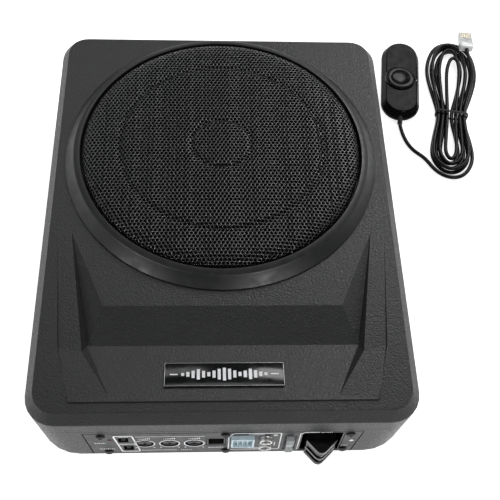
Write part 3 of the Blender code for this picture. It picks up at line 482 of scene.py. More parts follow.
def plated(name, colour, roughness):
    """Bright metal plate with faint drawing lines and a little tarnish."""
    material, tree, shader, place = new_finish(name, colour, roughness, 1.0)
    tarnish = add_noise(tree, place, 380)
    vary_colour(tree, shader, tarnish, "Fac", [channel * 0.7 for channel in colour], colour)
    vary_roughness(tree, shader, tarnish, "Fac", roughness - 0.05, roughness + 0.15)
    add_bump(tree, shader, add_noise(tree, place, 3000), "Fac", 0.15, 0.00005)
    return material


def plug_body():
    shape = block((-5.8, -11, 8.4), (5.8, 7.5, 13.7), 0.35)
    add_block(shape, (-2.3, -8, 7.9), (2.3, 6, 8.6), 0.2)
    add_block(shape, (-5.8, -11, 13.4), (5.8, -1.5, 14.5), 0.3)
    for index in range(7):
        x = (index - 3) * CONTACT_PITCH
        add_block(shape, (x - 0.3, -1, 13.4), (x + 0.3, 7.4, 14.5), 0.12, 1)
    shape.transform(PLUG_PLACE)
    return outward(shape)


def plug_contacts():
    shape = bmesh.new()
    for index in range(6):
        x = (index - 2.5) * CONTACT_PITCH
        add_block(shape, (x - 0.22, 0.5, 13.5), (x + 0.22, 7, 14.2), 0.1, 1)
    shape.transform(PLUG_PLACE)
    return outward(shape)


plug_plastic = clear_plastic("plug_clear", (0.93, 0.94, 0.94), 0.16, 0.3)
gilt = plated("gilt_contacts", (0.78, 0.68, 0.46), 0.25)
new_piece("plug_body", plug_body(), plug_plastic, "root", ["modular_plug"])
new_piece("plug_contacts", plug_contacts(), gilt, "root")

# ---------------------------------------------------------------- remote level control
# A small satin ABS case in two halves snapped together, with a broad dished knob that sits nearly
# flush in a round seat. A short rubber boot takes the cord's pull at the front end.

REMOTE_PLACE = Matrix.Translation((161.3 * MM, 172 * MM, 0)) @ Matrix.Rotation(math.radians(-6.9), 4, "Z")
REMOTE_KNOB_AXIS = REMOTE_PLACE @ Vector((-1.4 * MM, -3.2 * MM, 11 * MM))


def cad_shape(name):
    """The CAD node's mesh in the model's frame, welded, with its flat faces whole again."""
    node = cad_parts[name]
    shape = bmesh.new()
    shape.from_mesh(node.data)
    shape.transform(node.matrix_world)
    bmesh.ops.remove_doubles(shape, verts=shape.verts, dist=1e-6)
    bmesh.ops.dissolve_limit(
        shape, angle_limit=math.radians(0.4), use_dissolve_boundaries=False,
        verts=shape.verts, edges=shape.edges,
    )
    shape.normal_update()
    return shape


def ease_edges(shape, edges, width, steps=2):
    bmesh.ops.bevel(
        shape, geom=edges, offset=width * MM, segments=steps,
        profile=0.5, affect="EDGES", clamp_overlap=True, material=-1,
    )
    return outward(shape)


def rounded_cad(name, width, sharper_than=24):
    """A CAD node's shape with its hard edges eased by a width in millimetres."""
    shape = cad_shape(name)
    hard = [edge for edge in shape.edges if edge.calc_face_angle(0) > math.radians(sharper_than)]
    return ease_edges(shape, hard, width)


def even_normals(piece):
    """Keeps broad faces flat beside their rounded edges."""
    piece.modifiers.new("even_normals", "WEIGHTED_NORMAL").keep_sharp = True


def eased_shell(name, node, width, material, sharper_than=24):
    """A fixed shell that keeps its CAD shape, with its hard edges eased."""
    shape = rounded_cad(node, width, sharper_than)
    even_normals(new_piece(name, shape, material, "root", [node]))


def moulded(name, tone, roughness, grain_scale=2200, grain_depth=0.00006, grain_strength=0.35, gloss=0.5):
    """Moulded black plastic: fine surface texture, slight shade and gloss variation, a little dust."""
    dark, light = [tone * 0.75] * 3, [tone * 1.25, tone * 1.25, tone * 1.3]
    material, tree, shader, place = new_finish(name, light, roughness)
    shader.inputs["Specular IOR Level"].default_value = gloss
    patches = add_noise(tree, place, 45, 4)
    vary_colour(tree, shader, patches, "Fac", dark, light)
    vary_roughness(tree, shader, add_noise(tree, place, 160, 4), "Fac", roughness - 0.06, roughness + 0.08)
    add_bump(tree, shader, add_noise(tree, place, grain_scale), "Fac", grain_strength, grain_depth)
    return material


def remote_knob_shape():
    profile = [
        (0, 0.9), (3, 0.95), (5.4, 1.05), (6.6, 1.3), (7.6, 1.75), (8.4, 2.0), (9.4, 2.05), (11.2, 2.0),
        (12.0, 1.75), (12.5, 1.3), (12.75, 0.6), (12.8, -0.8), (1.8, -0.8), (1.8, 0.4), (0, 0.4),
    ]
    return turned(profile, Matrix.Translation(REMOTE_KNOB_AXIS), 96)


def relief_boot():
    """The boot follows the cord out of the case as rubber rings on a thin sleeve."""
    start, mouth, tip = Vector((0, -37.5, 4.9)), Vector((0, -44.0, 4.9)), Vector((0, -48.5, 2.6))
    shape = bmesh.new()
    add_rod(shape, start, mouth, 2.1)
    sleeve_start = mouth + (start - mouth).normalized()
    along = (tip - sleeve_start).normalized()
    add_rod(shape, sleeve_start, tip, 1.85, 1.7)
    for index in range(4):
        ring = sleeve_start + along * (1.6 + 1.15 * index)
        add_rod(shape, ring, ring + along * 0.6, 2.15)
    shape.transform(REMOTE_PLACE)
    return outward(shape)


def status_dots():
    """Two small white lenses beside the knob."""
    shape = bmesh.new()
    for angle in (-28, -8):
        top = Matrix.Rotation(math.radians(angle), 3, "Z") @ Vector((14.5, 0, 0))
        add_rod(shape, top - Vector((0, 0, 1.2)), top, 0.6, 0.4, 20)
    shape.transform(Matrix.Translation(REMOTE_KNOB_AXIS))
    return outward(shape)


remote_abs = moulded("remote_abs", 0.004, 0.22, 2200, 0.00002, 0.1, 0.04)
knob_abs = moulded("remote_knob_abs", 0.006, 0.20, 2200, 0.00002, 0.1, 0.10)
boot_rubber = rubber("boot_rubber", (0.012, 0.012, 0.012), 0.55)
indicator = clear_plastic("indicator_white", (0.85, 0.86, 0.88), 0.2, 0.1)
eased_shell("remote_case_top", "remote_cover", 0.35, remote_abs)
eased_shell("remote_case_base", "remote_base", 0.3, remote_abs)
dial_shape = remote_knob_shape()
new_piece("remote_dial_knob", dial_shape, knob_abs, "remote_dial", ["remote_knob"])
new_piece("remote_relief_boot", relief_boot(), boot_rubber, "root", ["remote_cord_relief"])
new_piece("remote_status_dots", status_dots(), indicator, "root")

# ---------------------------------------------------------------- enclosure
# Two injection-moulded ABS shells with a coarse leather grain, screwed together round the amplifier.
# The upper one carries a faceted relief: a plateau, a valley with a ramp, and a shallow panel at each side.

HALF_WIDTH, HALF_LENGTH = 125 * MM, 162.75 * MM
RIM_FOOT_Z, RIM_REACH = 57.5 * MM, 0.945
RELIEF_HALF_WIDTH, RELIEF_HALF_LENGTH, RELIEF_FOOT_Z = 118 * MM, 156 * MM, 58 * MM


def leather_grain(name, tone, roughness):
    """Black plastic from a leather-grained mould: rounded cells with fine creases between them."""
    dark, light = [tone * 0.8] * 3, [tone * 1.2, tone * 1.2, tone * 1.25]
    material, tree, shader, place = new_finish(name, light, roughness)
    vary_colour(tree, shader, add_noise(tree, place, 30, 4), "Fac", dark, light)
    vary_roughness(tree, shader, add_noise(tree, place, 700), "Fac", roughness - 0.10, roughness + 0.10)
    cells = tree.nodes.new("ShaderNodeTexVoronoi")
    cells.feature = "SMOOTH_F1"
    cells.inputs["Scale"].default_value = 850
    link(tree, place, "Object", cells, "Vector")
    fine = add_noise(tree, place, 1500, 4)
    both = tree.nodes.new("ShaderNodeMath")
    both.operation = "SUBTRACT"
    link(tree, fine, "Fac", both, 0)
    link(tree, cells, "Distance", both, 1)
    add_bump(tree, shader, both, "Value", 0.8, 0.0003)
    return material


def upper_shell():
    """The CAD shell with its outer edges eased; the relief's creases stay crisp."""
    shape = cad_shape("top_housing")

    def on_rim(vert):
        reach = max(abs(vert.co.x) / HALF_WIDTH, abs(vert.co.y) / HALF_LENGTH)
        return vert.co.z > RIM_FOOT_Z and reach > RIM_REACH

    outer_rim = [
        edge for edge in shape.edges
        if edge.calc_face_angle(0) > math.radians(24) and all(on_rim(vert) for vert in edge.verts)
    ]
    return ease_edges(shape, outer_rim, 0.5, 3)


def sharpen_relief(piece):
    """Every crease of the deck's relief is marked sharp, however shallow."""
    shape = bmesh.new()
    shape.from_mesh(piece.data)
    for edge in shape.edges:
        inside = all(
            abs(vert.co.x) < RELIEF_HALF_WIDTH
            and abs(vert.co.y) < RELIEF_HALF_LENGTH
            and vert.co.z > RELIEF_FOOT_Z
            for vert in edge.verts
        )
        if inside and edge.calc_face_angle(0) > math.radians(2):
            edge.smooth = False
    shape.to_mesh(piece.data)
    shape.free()


housing_plastic = leather_grain("housing_leather_grain", 0.0075, 0.43)
top_shell = new_piece(
    "upper_shell", upper_shell(), housing_plastic, "root", ["top_housing"], 16.5
)
even_normals(top_shell)
sharpen_relief(top_shell)
eased_shell("lower_shell", "lower_housing", 0.4, housing_plastic)

# ---------------------------------------------------------------- grip strips
# Three strips of black hook tape glued across the underside. They hold the box to a boot carpet.


def hook_tape():
    material, tree, shader, place = new_finish("hook_tape", (0.012, 0.012, 0.013), 0.95)
    hooks = tree.nodes.new("ShaderNodeTexVoronoi")
    hooks.inputs["Scale"].default_value = 1100
    link(tree, place, "Object", hooks, "Vector")
    vary_colour(tree, shader, hooks, "Distance", (0.006, 0.006, 0.006), (0.022, 0.022, 0.023), 0.1, 0.8)
    add_bump(tree, shader, hooks, "Distance", 0.9, 0.0006)
    shader.inputs["Sheen Weight"].default_value = 0.3
    return material


hook_material = hook_tape()
for place_word in ("front", "middle", "rear"):
    strip_name = f"grip_strip_{place_word}"
    strip = rounded_cad(strip_name, 0.6)
    new_piece(f"hook_tape_{place_word}", strip, hook_material, "root", [strip_name])

# ---------------------------------------------------------------- grille
# A moulded bezel clipped to the deck, and inside it a dished steel sheet, punched with staggered round
# holes, pressed with two rings, and painted satin black.

DRIVER_PLACE = Matrix.Translation((0, 41.5 * MM, 0))
HOLE_PITCH = 2.9 * MM
HOLE_SHARE = 0.71
SOLID_EDGE = 0.55 * HOLE_PITCH
SHEET_STEEL = 0.45 * MM
CROWN = (
    (0, 81.3), (18.6, 81.1), (20.2, 80.7), (21.6, 79.6), (23.6, 80.1), (25.4, 80.5), (55, 80.6),
    (70.3, 80.6), (71.8, 80.2), (73.6, 78.9), (75.6, 79.4), (77.4, 79.7), (88, 79.5), (94.0, 78.9),
    (97.6, 77.7), (99.8, 75.9), (100.8, 73.8), (101.0, 71.5), (101.0, 69.6),
)


def bezel_shape():
    profile = [
        (113.7, 67.1), (113.66, 66.6), (113.5, 66.3), (102.2, 66.3), (102.2, 75.3), (102.3, 75.75),
        (102.6, 76.0), (102.95, 76.0), (106.3, 74.7), (106.9, 74.4), (107.4, 73.8), (113.2, 67.5),
        (113.55, 67.25),
    ]
    return turned(profile, DRIVER_PLACE, 160, closed=True)


def crown_point(x, y):
    """A point of the flat punched blank, pressed onto the crown: distance along the sheet is kept."""
    blank = math.hypot(x, y) / MM
    walked = 0.0
    for (r0, z0), (r1, z1) in zip(CROWN, CROWN[1:]):
        run = math.hypot(r1 - r0, z1 - z0)
        if walked + run >= blank or (r1, z1) == CROWN[-1]:
            share = min((blank - walked) / run, 1.0)
            radius, height = r0 + share * (r1 - r0), z0 + share * (z1 - z0)
            scale = radius / blank if blank > 1e-6 else 0.0
            return Vector((x * scale, y * scale, height * MM))
        walked += run


def punched_sheet():
    """One six-sided cell round each hole; neighbouring cells share their corners."""
    shape = bmesh.new()
    corner_at = {}
    blank_radius = sum(math.dist(first, second) for first, second in zip(CROWN, CROWN[1:])) * MM
    row_step = HOLE_PITCH * math.sqrt(3) / 2
    rows = int(blank_radius / row_step) + 1
    for row in range(-rows, rows + 1):
        shift = HOLE_PITCH / 2 if row % 2 else 0
        for column in range(-rows - 2, rows + 3):
            centre = Vector((column * HOLE_PITCH + shift, row * row_step))
            if centre.length > blank_radius - SOLID_EDGE:
                continue
            outer, inner = [], []
            for index in range(6):
                angle = math.radians(30 + 60 * index)
                away = Vector((math.cos(angle), math.sin(angle))) * HOLE_PITCH / math.sqrt(3)
                corner = centre + away
                key = (round(corner.x / MM * 50), round(corner.y / MM * 50))
                if key not in corner_at:
                    corner_at[key] = shape.verts.new(crown_point(*corner))
                outer.append(corner_at[key])
                inner.append(shape.verts.new(crown_point(*(centre + away * HOLE_SHARE))))
            for index in range(6):
                after = (index + 1) % 6
                shape.faces.new((outer[index], outer[after], inner[after], inner[index]))
    shape.transform(DRIVER_PLACE)
    shape.normal_update()
    return shape


def satin_paint():
    material, tree, shader, place = new_finish("grille_satin_paint", (0.006, 0.006, 0.0063), 0.3)
    shader.inputs["Specular IOR Level"].default_value = 0.5
    shader.inputs["Coat Weight"].default_value = 0.25
    shader.inputs["Coat Roughness"].default_value = 0.2
    spread = add_noise(tree, place, 130)
    vary_colour(tree, shader, spread, "Fac", (0.004, 0.004, 0.0042), (0.008, 0.008, 0.0084))
    vary_roughness(tree, shader, spread, "Fac", 0.20, 0.28)
    add_bump(tree, shader, add_noise(tree, place, 1400), "Fac", 0.1, 0.00004)
    return material


bezel_plastic = moulded("bezel_satin", 0.007, 0.42, 1500, 0.00008, 0.3)
new_piece("grille_bezel", bezel_shape(), bezel_plastic, "root", ["grille_ring"])
sheet, paint = punched_sheet(), satin_paint()
punched = new_piece("punched_grille", sheet, paint, "root", ["grille_mesh"], 50)
thickness = punched.modifiers.new("sheet_thickness", "SOLIDIFY")
thickness.thickness = SHEET_STEEL
thickness.offset = -1

# ---------------------------------------------------------------- nameplate
# A glossy black plate with a polished rim, glued on the ramp. The mark on it is a plain row of sound bars
# between two rules.

BADGE_SLOPE = math.atan2(7.95, 41.0)
BADGE_PLACE = Matrix.Translation((0, -132 * MM, 63.42 * MM)) @ Matrix.Rotation(-BADGE_SLOPE, 4, "X")
BADGE_HALF_X, BADGE_HALF_Y = 38, 8.7
BAR_HEIGHTS = (2.2, 3.6, 5.6, 7.8, 5.0, 3.2, 5.4, 8.0, 9.6, 8.0, 5.4, 3.2, 5.0, 7.8, 5.6, 3.6, 2.2)


def badge_plate_shape():
    shape = block((-BADGE_HALF_X, -BADGE_HALF_Y, 0.3), (BADGE_HALF_X, BADGE_HALF_Y, 1.45), 0.3)
    shape.transform(BADGE_PLACE)
    return outward(shape)


def badge_rim():
    """Four thin rails round the plate's edge."""
    shape = bmesh.new()
    half_rail, low, high = 0.175, 1.2, 1.6
    for side in (1, -1):
        x, y = side * (BADGE_HALF_X - half_rail), side * (BADGE_HALF_Y - half_rail)
        add_block(shape, (-BADGE_HALF_X, y - half_rail, low), (BADGE_HALF_X, y + half_rail, high), 0.12)
        add_block(shape, (x - half_rail, -BADGE_HALF_Y, low), (x + half_rail, BADGE_HALF_Y, high), 0.12)
    shape.transform(BADGE_PLACE)
    return outward(shape)


def badge_mark():
    """Sound bars across the middle, with a rule running out to each side."""
    shape = bmesh.new()
    pitch, low, high = 3.3, 1.3, 1.62
    for index, tall in enumerate(BAR_HEIGHTS):
        x = (index - (len(BAR_HEIGHTS) - 1) / 2) * pitch
        add_block(shape, (x - 1, -tall / 2, low), (x + 1, tall / 2, high), 0.1, 1)
    for left, right in ((29.5, 34.5), (-34.5, -29.5)):
        add_block(shape, (left, -0.45, low), (right, 0.45, high), 0.1, 1)
    shape.transform(BADGE_PLACE)
    return outward(shape)


badge_gloss = moulded("badge_gloss", 0.002, 0.14, 400, 0.00001, 0.05, 0.3)
badge_chrome = plated("badge_polished", (0.42, 0.42, 0.43), 0.35)
badge_paint = moulded("badge_white_paint", 0.72, 0.4, 900, 0.00003, 0.2)
new_piece("nameplate", badge_plate_shape(), badge_gloss, "root", ["badge_plate"])
new_piece("nameplate_rim", badge_rim(), badge_chrome, "root")
new_piece("nameplate_mark", badge_mark(), badge_paint, "root")

# ---------------------------------------------------------------- control panel
# A flat moulded plate let into the front wall and held by six screws, with white markings printed on it.
# The markings are plain frames, rings, ticks and rows of dots.

PANEL_Y = -162.75
INK_THICKNESS = 0.08
POTS = (("gain", -51.6), ("crossover", -35.4), ("boost", -19.3))
POT_Z = 23.5


def skin_rings(shape, rings, closed=False):
    """Quads between neighbouring rings of points, with a cap at each end unless the row closes."""
    for first, second in list(zip(rings, rings[1:])) + ([(rings[-1], rings[0])] if closed else []):
        for index in range(len(first)):
            after = (index + 1) % len(first)
            shape.faces.new((first[index], first[after], second[after], second[index]))
    if not closed:
        shape.faces.new(rings[0])
        shape.faces.new(list(reversed(rings[-1])))


def add_ribbon(shape, points, width, closed=False):
    """A printed line along (x, z) points in millimetres on the panel's face, mitred at its corners."""
    points = [Vector(point) for point in points]
    count = len(points)
    rings = []
    for index, point in enumerate(points):
        before = points[index - 1] if index or closed else point
        after = points[(index + 1) % count] if index < count - 1 or closed else point
        inwards = (point - before).normalized() if point != before else (after - point).normalized()
        outwards = (after - point).normalized() if after != point else inwards
        along = (inwards + outwards).normalized()
        across = Vector((-along.y, along.x)) * 1.35 * width / 2 / max(along.dot(outwards), 0.5)
        ring = []
        for side, depth in ((1, 0), (-1, 0), (-1, 1), (1, 1)):
            flat = point + across * side
            y = PANEL_Y - INK_THICKNESS + depth * 1.5 * INK_THICKNESS
            ring.append(shape.verts.new((flat.x * MM, y * MM, flat.y * MM)))
        rings.append(ring)
    skin_rings(shape, rings, closed)


def round_corners(points, radius, steps=5):
    """The outline with each corner replaced by a small curve."""
    points = [Vector(point) for point in points]
    rounded = []
    for index, corner in enumerate(points):
        start = corner + (points[index - 1] - corner).normalized() * radius
        end = corner + (points[(index + 1) % len(points)] - corner).normalized() * radius
        for step in range(steps + 1):
            t = step / steps
            rounded.append(start * (1 - t) ** 2 + corner * 2 * t * (1 - t) + end * t**2)
    return rounded


def circle_points(x, z, radius, steps=48):
    angles = [math.tau * step / steps for step in range(steps)]
    return [(x + radius * math.cos(angle), z + radius * math.sin(angle)) for angle in angles]


def add_ticks(shape, x, z, count, pitch, heights, width=0.45):
    """A level scale: a row of short upright ticks."""
    for index in range(count):
        tick_x = x + (index - (count - 1) / 2) * pitch
        tall = heights[index % len(heights)]
        add_ribbon(shape, [(tick_x, z), (tick_x, z + tall)], width)


def panel_print():
    shape = bmesh.new()
    switch_frame = [(-71.0, 38.6), (-59.0, 38.6), (-55.2, 8.8), (-67.0, 8.8)]
    add_ribbon(shape, round_corners(switch_frame, 1.6), 0.7, True)
    add_ribbon(shape, [(-69.0, 23.4), (-57.2, 23.4)], 0.6)
    add_ticks(shape, -64.6, 36.2, 5, 1.3, (0.9, 1.2), 0.4)
    rising = (0.6, 0.9, 1.2, 1.5, 1.8, 2.1, 2.4)
    for _, x in POTS:
        add_ribbon(shape, circle_points(x, POT_Z, 6.45), 0.55, True)
        add_ticks(shape, x, 32.2, 7, 1.15, rising)
        for side in (1, -1):
            add_ribbon(shape, [(x + side * 5.2, 16.6), (x + side * 6.4, 15.4)], 0.5)
    add_ribbon(shape, [(-57.0, 37.2), (-12.5, 37.2)], 0.35)
    add_ribbon(shape, [(-54.0, 10.6), (-31.0, 10.6)], 0.45)
    add_ticks(shape, -24.5, 10.0, 6, 1.3, (1.0,), 0.5)
    add_ticks(shape, -5.0, 14.2, 8, 1.3, (1.3, 0.9), 0.6)
    input_frame = [(3.2, 34.0), (6.0, 41.4), (36.9, 41.4), (36.9, 10.2), (3.2, 10.2)]
    add_ribbon(shape, round_corners(input_frame, 1.4), 0.6, True)
    add_ticks(shape, 21.0, 38.6, 8, 1.3, (1.1, 0.8), 0.5)
    add_ticks(shape, 20.0, 12.4, 6, 1.2, (1.1,), 0.5)
    add_ribbon(shape, circle_points(33.4, 37.4, 1.0, 16), 0.5, True)
    add_ribbon(shape, [(33.5, 24.0), (33.5, 17.5)], 0.5)
    add_ribbon(shape, [(61.5, 42.2), (52.6, 42.2), (49.4, 39.6), (49.4, 8.6)], 0.6)
    add_ticks(shape, 66.0, 41.6, 6, 1.3, (0.9,), 0.5)
    add_ribbon(shape, circle_points(84.2, 25.5, 1.0, 4), 0.9, True)
    add_ticks(shape, 80.6, 15.6, 4, 1.2, (1.0,), 0.5)
    add_ticks(shape, -80.2, 25.2, 6, 1.3, (1.2, 0.8), 0.6)
    add_ticks(shape, -76.6, 13.6, 8, 1.3, (1.2, 0.8), 0.6)
    shape.normal_update()
    bmesh.ops.recalc_face_normals(shape, faces=shape.faces)
    return shape


panel_abs = moulded("panel_satin", 0.005, 0.42, 1800, 0.00006, 0.3)
silk_white = moulded("printed_white", 0.75, 0.55, 1200, 0.00003, 0.2)
eased_shell("panel_face", "control_panel", 0.2, panel_abs, 35)
new_piece("panel_markings", panel_print(), silk_white, "root")

# ---------------------------------------------------------------- panel screws
# Six black zinc-plated self-tapping screws with a low domed head and a cross recess.

SCREW_PLACES = ((-79, 38), (0.9, 39), (82, 38), (-76, 9), (1.6, 8.6), (80.5, 9))


def on_panel(x, z):
    """The place of a turned piece on the panel's face, with its axis to the front."""
    return Matrix.Translation((x * MM, PANEL_Y * MM, z * MM)) @ Matrix.Rotation(math.radians(90), 4, "X")


def screw_shape(x, z):
    """The head has a round well whose four corner lands leave a cross."""
    profile = [
        (0, 0.7), (1.35, 0.7), (1.4, 1.42), (1.55, 1.5), (2.2, 1.4), (2.7, 1.1), (3.0, 0.7), (3.0, 0.3),
        (1.4, 0.3), (1.4, -2.1), (0, -2.1),
    ]
    shape = turned(profile, Matrix.Identity(4), 40)
    for side_x in (1, -1):
        for side_y in (1, -1):
            corner, reach = Vector((side_x * 0.68, side_y * 0.68, 1.0)), Vector((0.42, 0.42, 0.42))
            add_block(shape, corner - reach, corner + reach, 0.06, 1)
    shape.transform(on_panel(x, z))
    return outward(shape)


screw_zinc = plated("screw_black_zinc", (0.05, 0.05, 0.052), 0.32)
for index, screw_place in enumerate(SCREW_PLACES, 1):
    screw = screw_shape(*screw_place)
    new_piece(f"screw_{index}", screw, screw_zinc, "root", [f"panel_screw_{index}"])

# ---------------------------------------------------------------- rotary controls
# Three small potentiometers on the board. Each has a short black nylon knob, flush with the panel,
# with fluted sides and a screwdriver slot.

KNOB_STEPS, KNOB_FLUTES = 72, 24
KNOB_RADIUS, FLUTE_DEPTH = 4.68, 0.1


def knob_shape(x):
    """A fluted disc with a slot between two raised lands."""
    front = PANEL_Y + 0.5
    shape = bmesh.new()
    outline = []
    for step in range(KNOB_STEPS):
        angle = math.tau * step / KNOB_STEPS
        radius = KNOB_RADIUS + FLUTE_DEPTH * math.cos(KNOB_FLUTES * angle)
        outline.append((radius * math.cos(angle), radius * math.sin(angle)))
    rings = []
    for share, depth in ((0.05, 0.9), (0.80, 0.9), (0.84, 0.06), (0.96, 0.0), (1.0, 0.3), (1.0, 3.2)):
        y = (front + depth) * MM
        rings.append([
            shape.verts.new(((x + out_x * share) * MM, y, (POT_Z + out_z * share) * MM))
            for out_x, out_z in outline
        ])
    skin_rings(shape, rings)
    for left, right in ((0.55, 3.6), (-3.6, -0.55)):
        add_block(shape, (x + left, front + 0.1, POT_Z - 1.9), (x + right, front + 1.2, POT_Z + 1.9), 0.15)
    return outward(shape)


def repaint(material, *names):
    """A CAD node that is shown as it stands takes this finish."""
    for name in names:
        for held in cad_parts[name].material_slots:
            held.material = material


knob_nylon = moulded("knob_nylon", 0.006, 0.33)
pot_steel = plated("pot_case_steel", (0.62, 0.62, 0.60), 0.34)
for word, pot_x in POTS:
    knob, node = knob_shape(pot_x), f"{word}_knob"
    new_piece(f"{word}_control_knob", knob, knob_nylon, f"{word}_control", [node])
repaint(pot_steel, "gain_pot", "crossover_pot", "boost_pot", "remote_pot")

# ---------------------------------------------------------------- slide switches
# Two pressed steel slide switches, seen through windows in the panel, with ribbed black levers.

SWITCHES = (("phase", -65.0, 31.0), ("input", -62.4, 15.5))


def lever_shape(x, z):
    """The lever's visible end has three grip ribs."""
    front, back = PANEL_Y + 0.55, PANEL_Y + 6.4
    shape = block((x - 1.3, front, z - 1.6), (x + 1.3, back, z + 1.6), 0.15)
    for rise in (-1.0, 0.0, 1.0):
        low = (x - 1.2, PANEL_Y + 0.3, z + rise - 0.22)
        high = (x + 1.2, front + 0.2, z + rise + 0.22)
        add_block(shape, low, high, 0.08, 1)
    return outward(shape)


lever_nylon = moulded("lever_nylon", 0.01, 0.4)
case_black = plated("switch_case_steel", (0.12, 0.12, 0.12), 0.4)
for word, switch_x, switch_z in SWITCHES:
    lever, node = lever_shape(switch_x, switch_z), f"{word}_switch_lever"
    new_piece(f"{word}_lever_ribbed", lever, lever_nylon, f"{word}_lever", [node])
repaint(case_black, "phase_switch_case", "input_switch_case")

# ---------------------------------------------------------------- signal sockets
# A six-way telephone jack for the remote, a milky nylon socket for speaker-level leads with its pins,
# and two phono jacks with nickel shells and dark insulators.

PHONO_X = 27.3


def jack_springs():
    """Six gilt wires, slanting back into the jack's mouth."""
    shape = bmesh.new()
    for index in range(6):
        x = -5.0 + (index - 2.5) * 1.3
        add_rod(shape, (x, PANEL_Y + 1.5, 30.9), (x, PANEL_Y + 9.5, 26.5), 0.22, sides=10)
    return outward(shape)


def socket_webs():
    """A web across the socket and four short ribs, moulded in one with it."""
    shape = bmesh.new()
    front, back = PANEL_Y - 1.8, PANEL_Y + 9.5
    add_block(shape, (6.1, front, 29.1), (18.3, back, 29.9), 0.15)
    for x in (9.1, 12.2, 15.3):
        add_block(shape, (x - 0.35, front, 23.4), (x + 0.35, back, 35.6), 0.12)
    add_block(shape, (9.8, PANEL_Y - 2.9, 36.6), (14.6, PANEL_Y + 2, 37.25), 0.12)
    return outward(shape)


def socket_pins():
    shape = bmesh.new()
    for x in (7.6, 10.65, 13.75, 16.8):
        for z in (26.3, 32.7):
            add_rod(shape, (x, PANEL_Y + 0.5, z), (x, PANEL_Y + 9.6, z), 0.75, sides=20)
    return outward(shape)


def phono_shell(z):
    profile = [
        (3.35, -1.0), (3.35, 2.7), (3.5, 3.0), (3.9, 3.0), (4.1, 2.85), (4.2, 2.5), (4.2, 1.2),
        (4.05, 1.0), (4.05, 0.3), (4.2, 0.1), (4.2, -10.9), (3.0, -11.0), (3.0, -1.0),
    ]
    return turned(profile, on_panel(PHONO_X, z), 64, closed=True)


def phono_insulator(z):
    profile = [
        (1.7, 1.7), (1.9, 1.95), (3.0, 1.95), (3.3, 1.8), (3.3, -0.9), (2.95, -1.0), (2.95, -10.8),
        (0, -10.8), (0, -6.0), (1.7, -6.0), (1.7, 1.7),
    ]
    return turned(profile, on_panel(PHONO_X, z), 64)


nickel_plate = plated("nickel_plate", (0.90, 0.89, 0.87), 0.34)
jack_plastic = moulded("jack_black", 0.004, 0.4)
milky_nylon = clear_plastic("milky_nylon", (0.62, 0.76, 0.82), 0.28, 0.12)
insulator_dark = moulded("insulator_dark", 0.01, 0.35, 1500, 0.00003, 0.2)
eased_shell("remote_jack_body", "remote_jack", 0.2, jack_plastic)
new_piece("remote_jack_springs", jack_springs(), gilt, "root")
eased_shell("speaker_socket_shell", "high_level_socket", 0.25, milky_nylon)
new_piece("speaker_socket_webs", socket_webs(), milky_nylon, "root")
new_piece("speaker_socket_pins", socket_pins(), nickel_plate, "root")
for word, phono_z in (("left", 31.0), ("right", 19.0)):
    shell = phono_shell(phono_z)
    new_piece(f"phono_shell_{word}", shell, nickel_plate, "root", [f"rca_jack_{word}"])
    insulator = phono_insulator(phono_z)
    new_piece(f"phono_insulator_{word}", insulator, insulator_dark, "root")

# ---------------------------------------------------------------- fuse
# A plug-in blade fuse: a smoke-clear ribbed body over two tinned blades, in a black holder.

FUSE_X, FUSE_Z, FUSE_FRONT = 43.4, 22.0, -165.75


def fuse_body():
    """A hollow-looking body: a spine with finger ribs at both ends and a flat window between them."""
    shape = block((41.2, FUSE_FRONT + 0.6, 11.0), (45.6, -156.75, 33.0), 0.5, 3)
    for z in (11.3, 13.6, 15.9, 18.2, 25.8, 28.1, 30.4, 32.7):
        low = (40.9, FUSE_FRONT, z - 0.55)
        high = (45.9, -157.2, z + 0.55)
        add_block(shape, low, high, 0.3)
    return outward(shape)


def fuse_blades():
    shape = bmesh.new()
    for low, high in ((-8, -3), (3, 8)):
        bottom = (FUSE_X - 0.35, FUSE_FRONT + 8.5, FUSE_Z + low)
        top = (FUSE_X + 0.35, FUSE_FRONT + 18, FUSE_Z + high)
        add_block(shape, bottom, top, 0.12, 1)
    return outward(shape)


fuse_clear = clear_plastic("fuse_smoke_clear", (0.55, 0.57, 0.58), 0.2, 0.35)
tinned = plated("tinned_blades", (0.74, 0.74, 0.73), 0.3)
new_piece("fuse_body_ribbed", fuse_body(), fuse_clear, "fuse", ["blade_fuse"])
new_piece("fuse_blades", fuse_blades(), tinned, "fuse")
eased_shell("fuse_holder_body", "fuse_holder", 0.2, jack_plastic)

# ---------------------------------------------------------------- power connector
# A deep rectangular socket with a wedge-nosed black plug pushed into its lower part.
# The plug's left flank has two finger slots, and its nose is ribbed.


def slab(shape, outline, low, high):
    """A horizontal slice of the plug's nose from (x, y) points in millimetres, with its edges eased."""
    loops = [[shape.verts.new((x * MM, y * MM, z * MM)) for x, y in outline] for z in (low, high)]
    faces = [shape.faces.new(loops[0]), shape.faces.new(list(reversed(loops[1])))]
    for index in range(len(outline)):
        after = (index + 1) % len(outline)
        faces.append(shape.faces.new((loops[0][index], loops[1][index], loops[1][after], loops[0][after])))
    edges = list({edge for face in faces for edge in face.edges})
    bmesh.ops.bevel(
        shape, geom=edges, offset=0.35 * MM, segments=2, profile=0.5, affect="EDGES", material=-1
    )


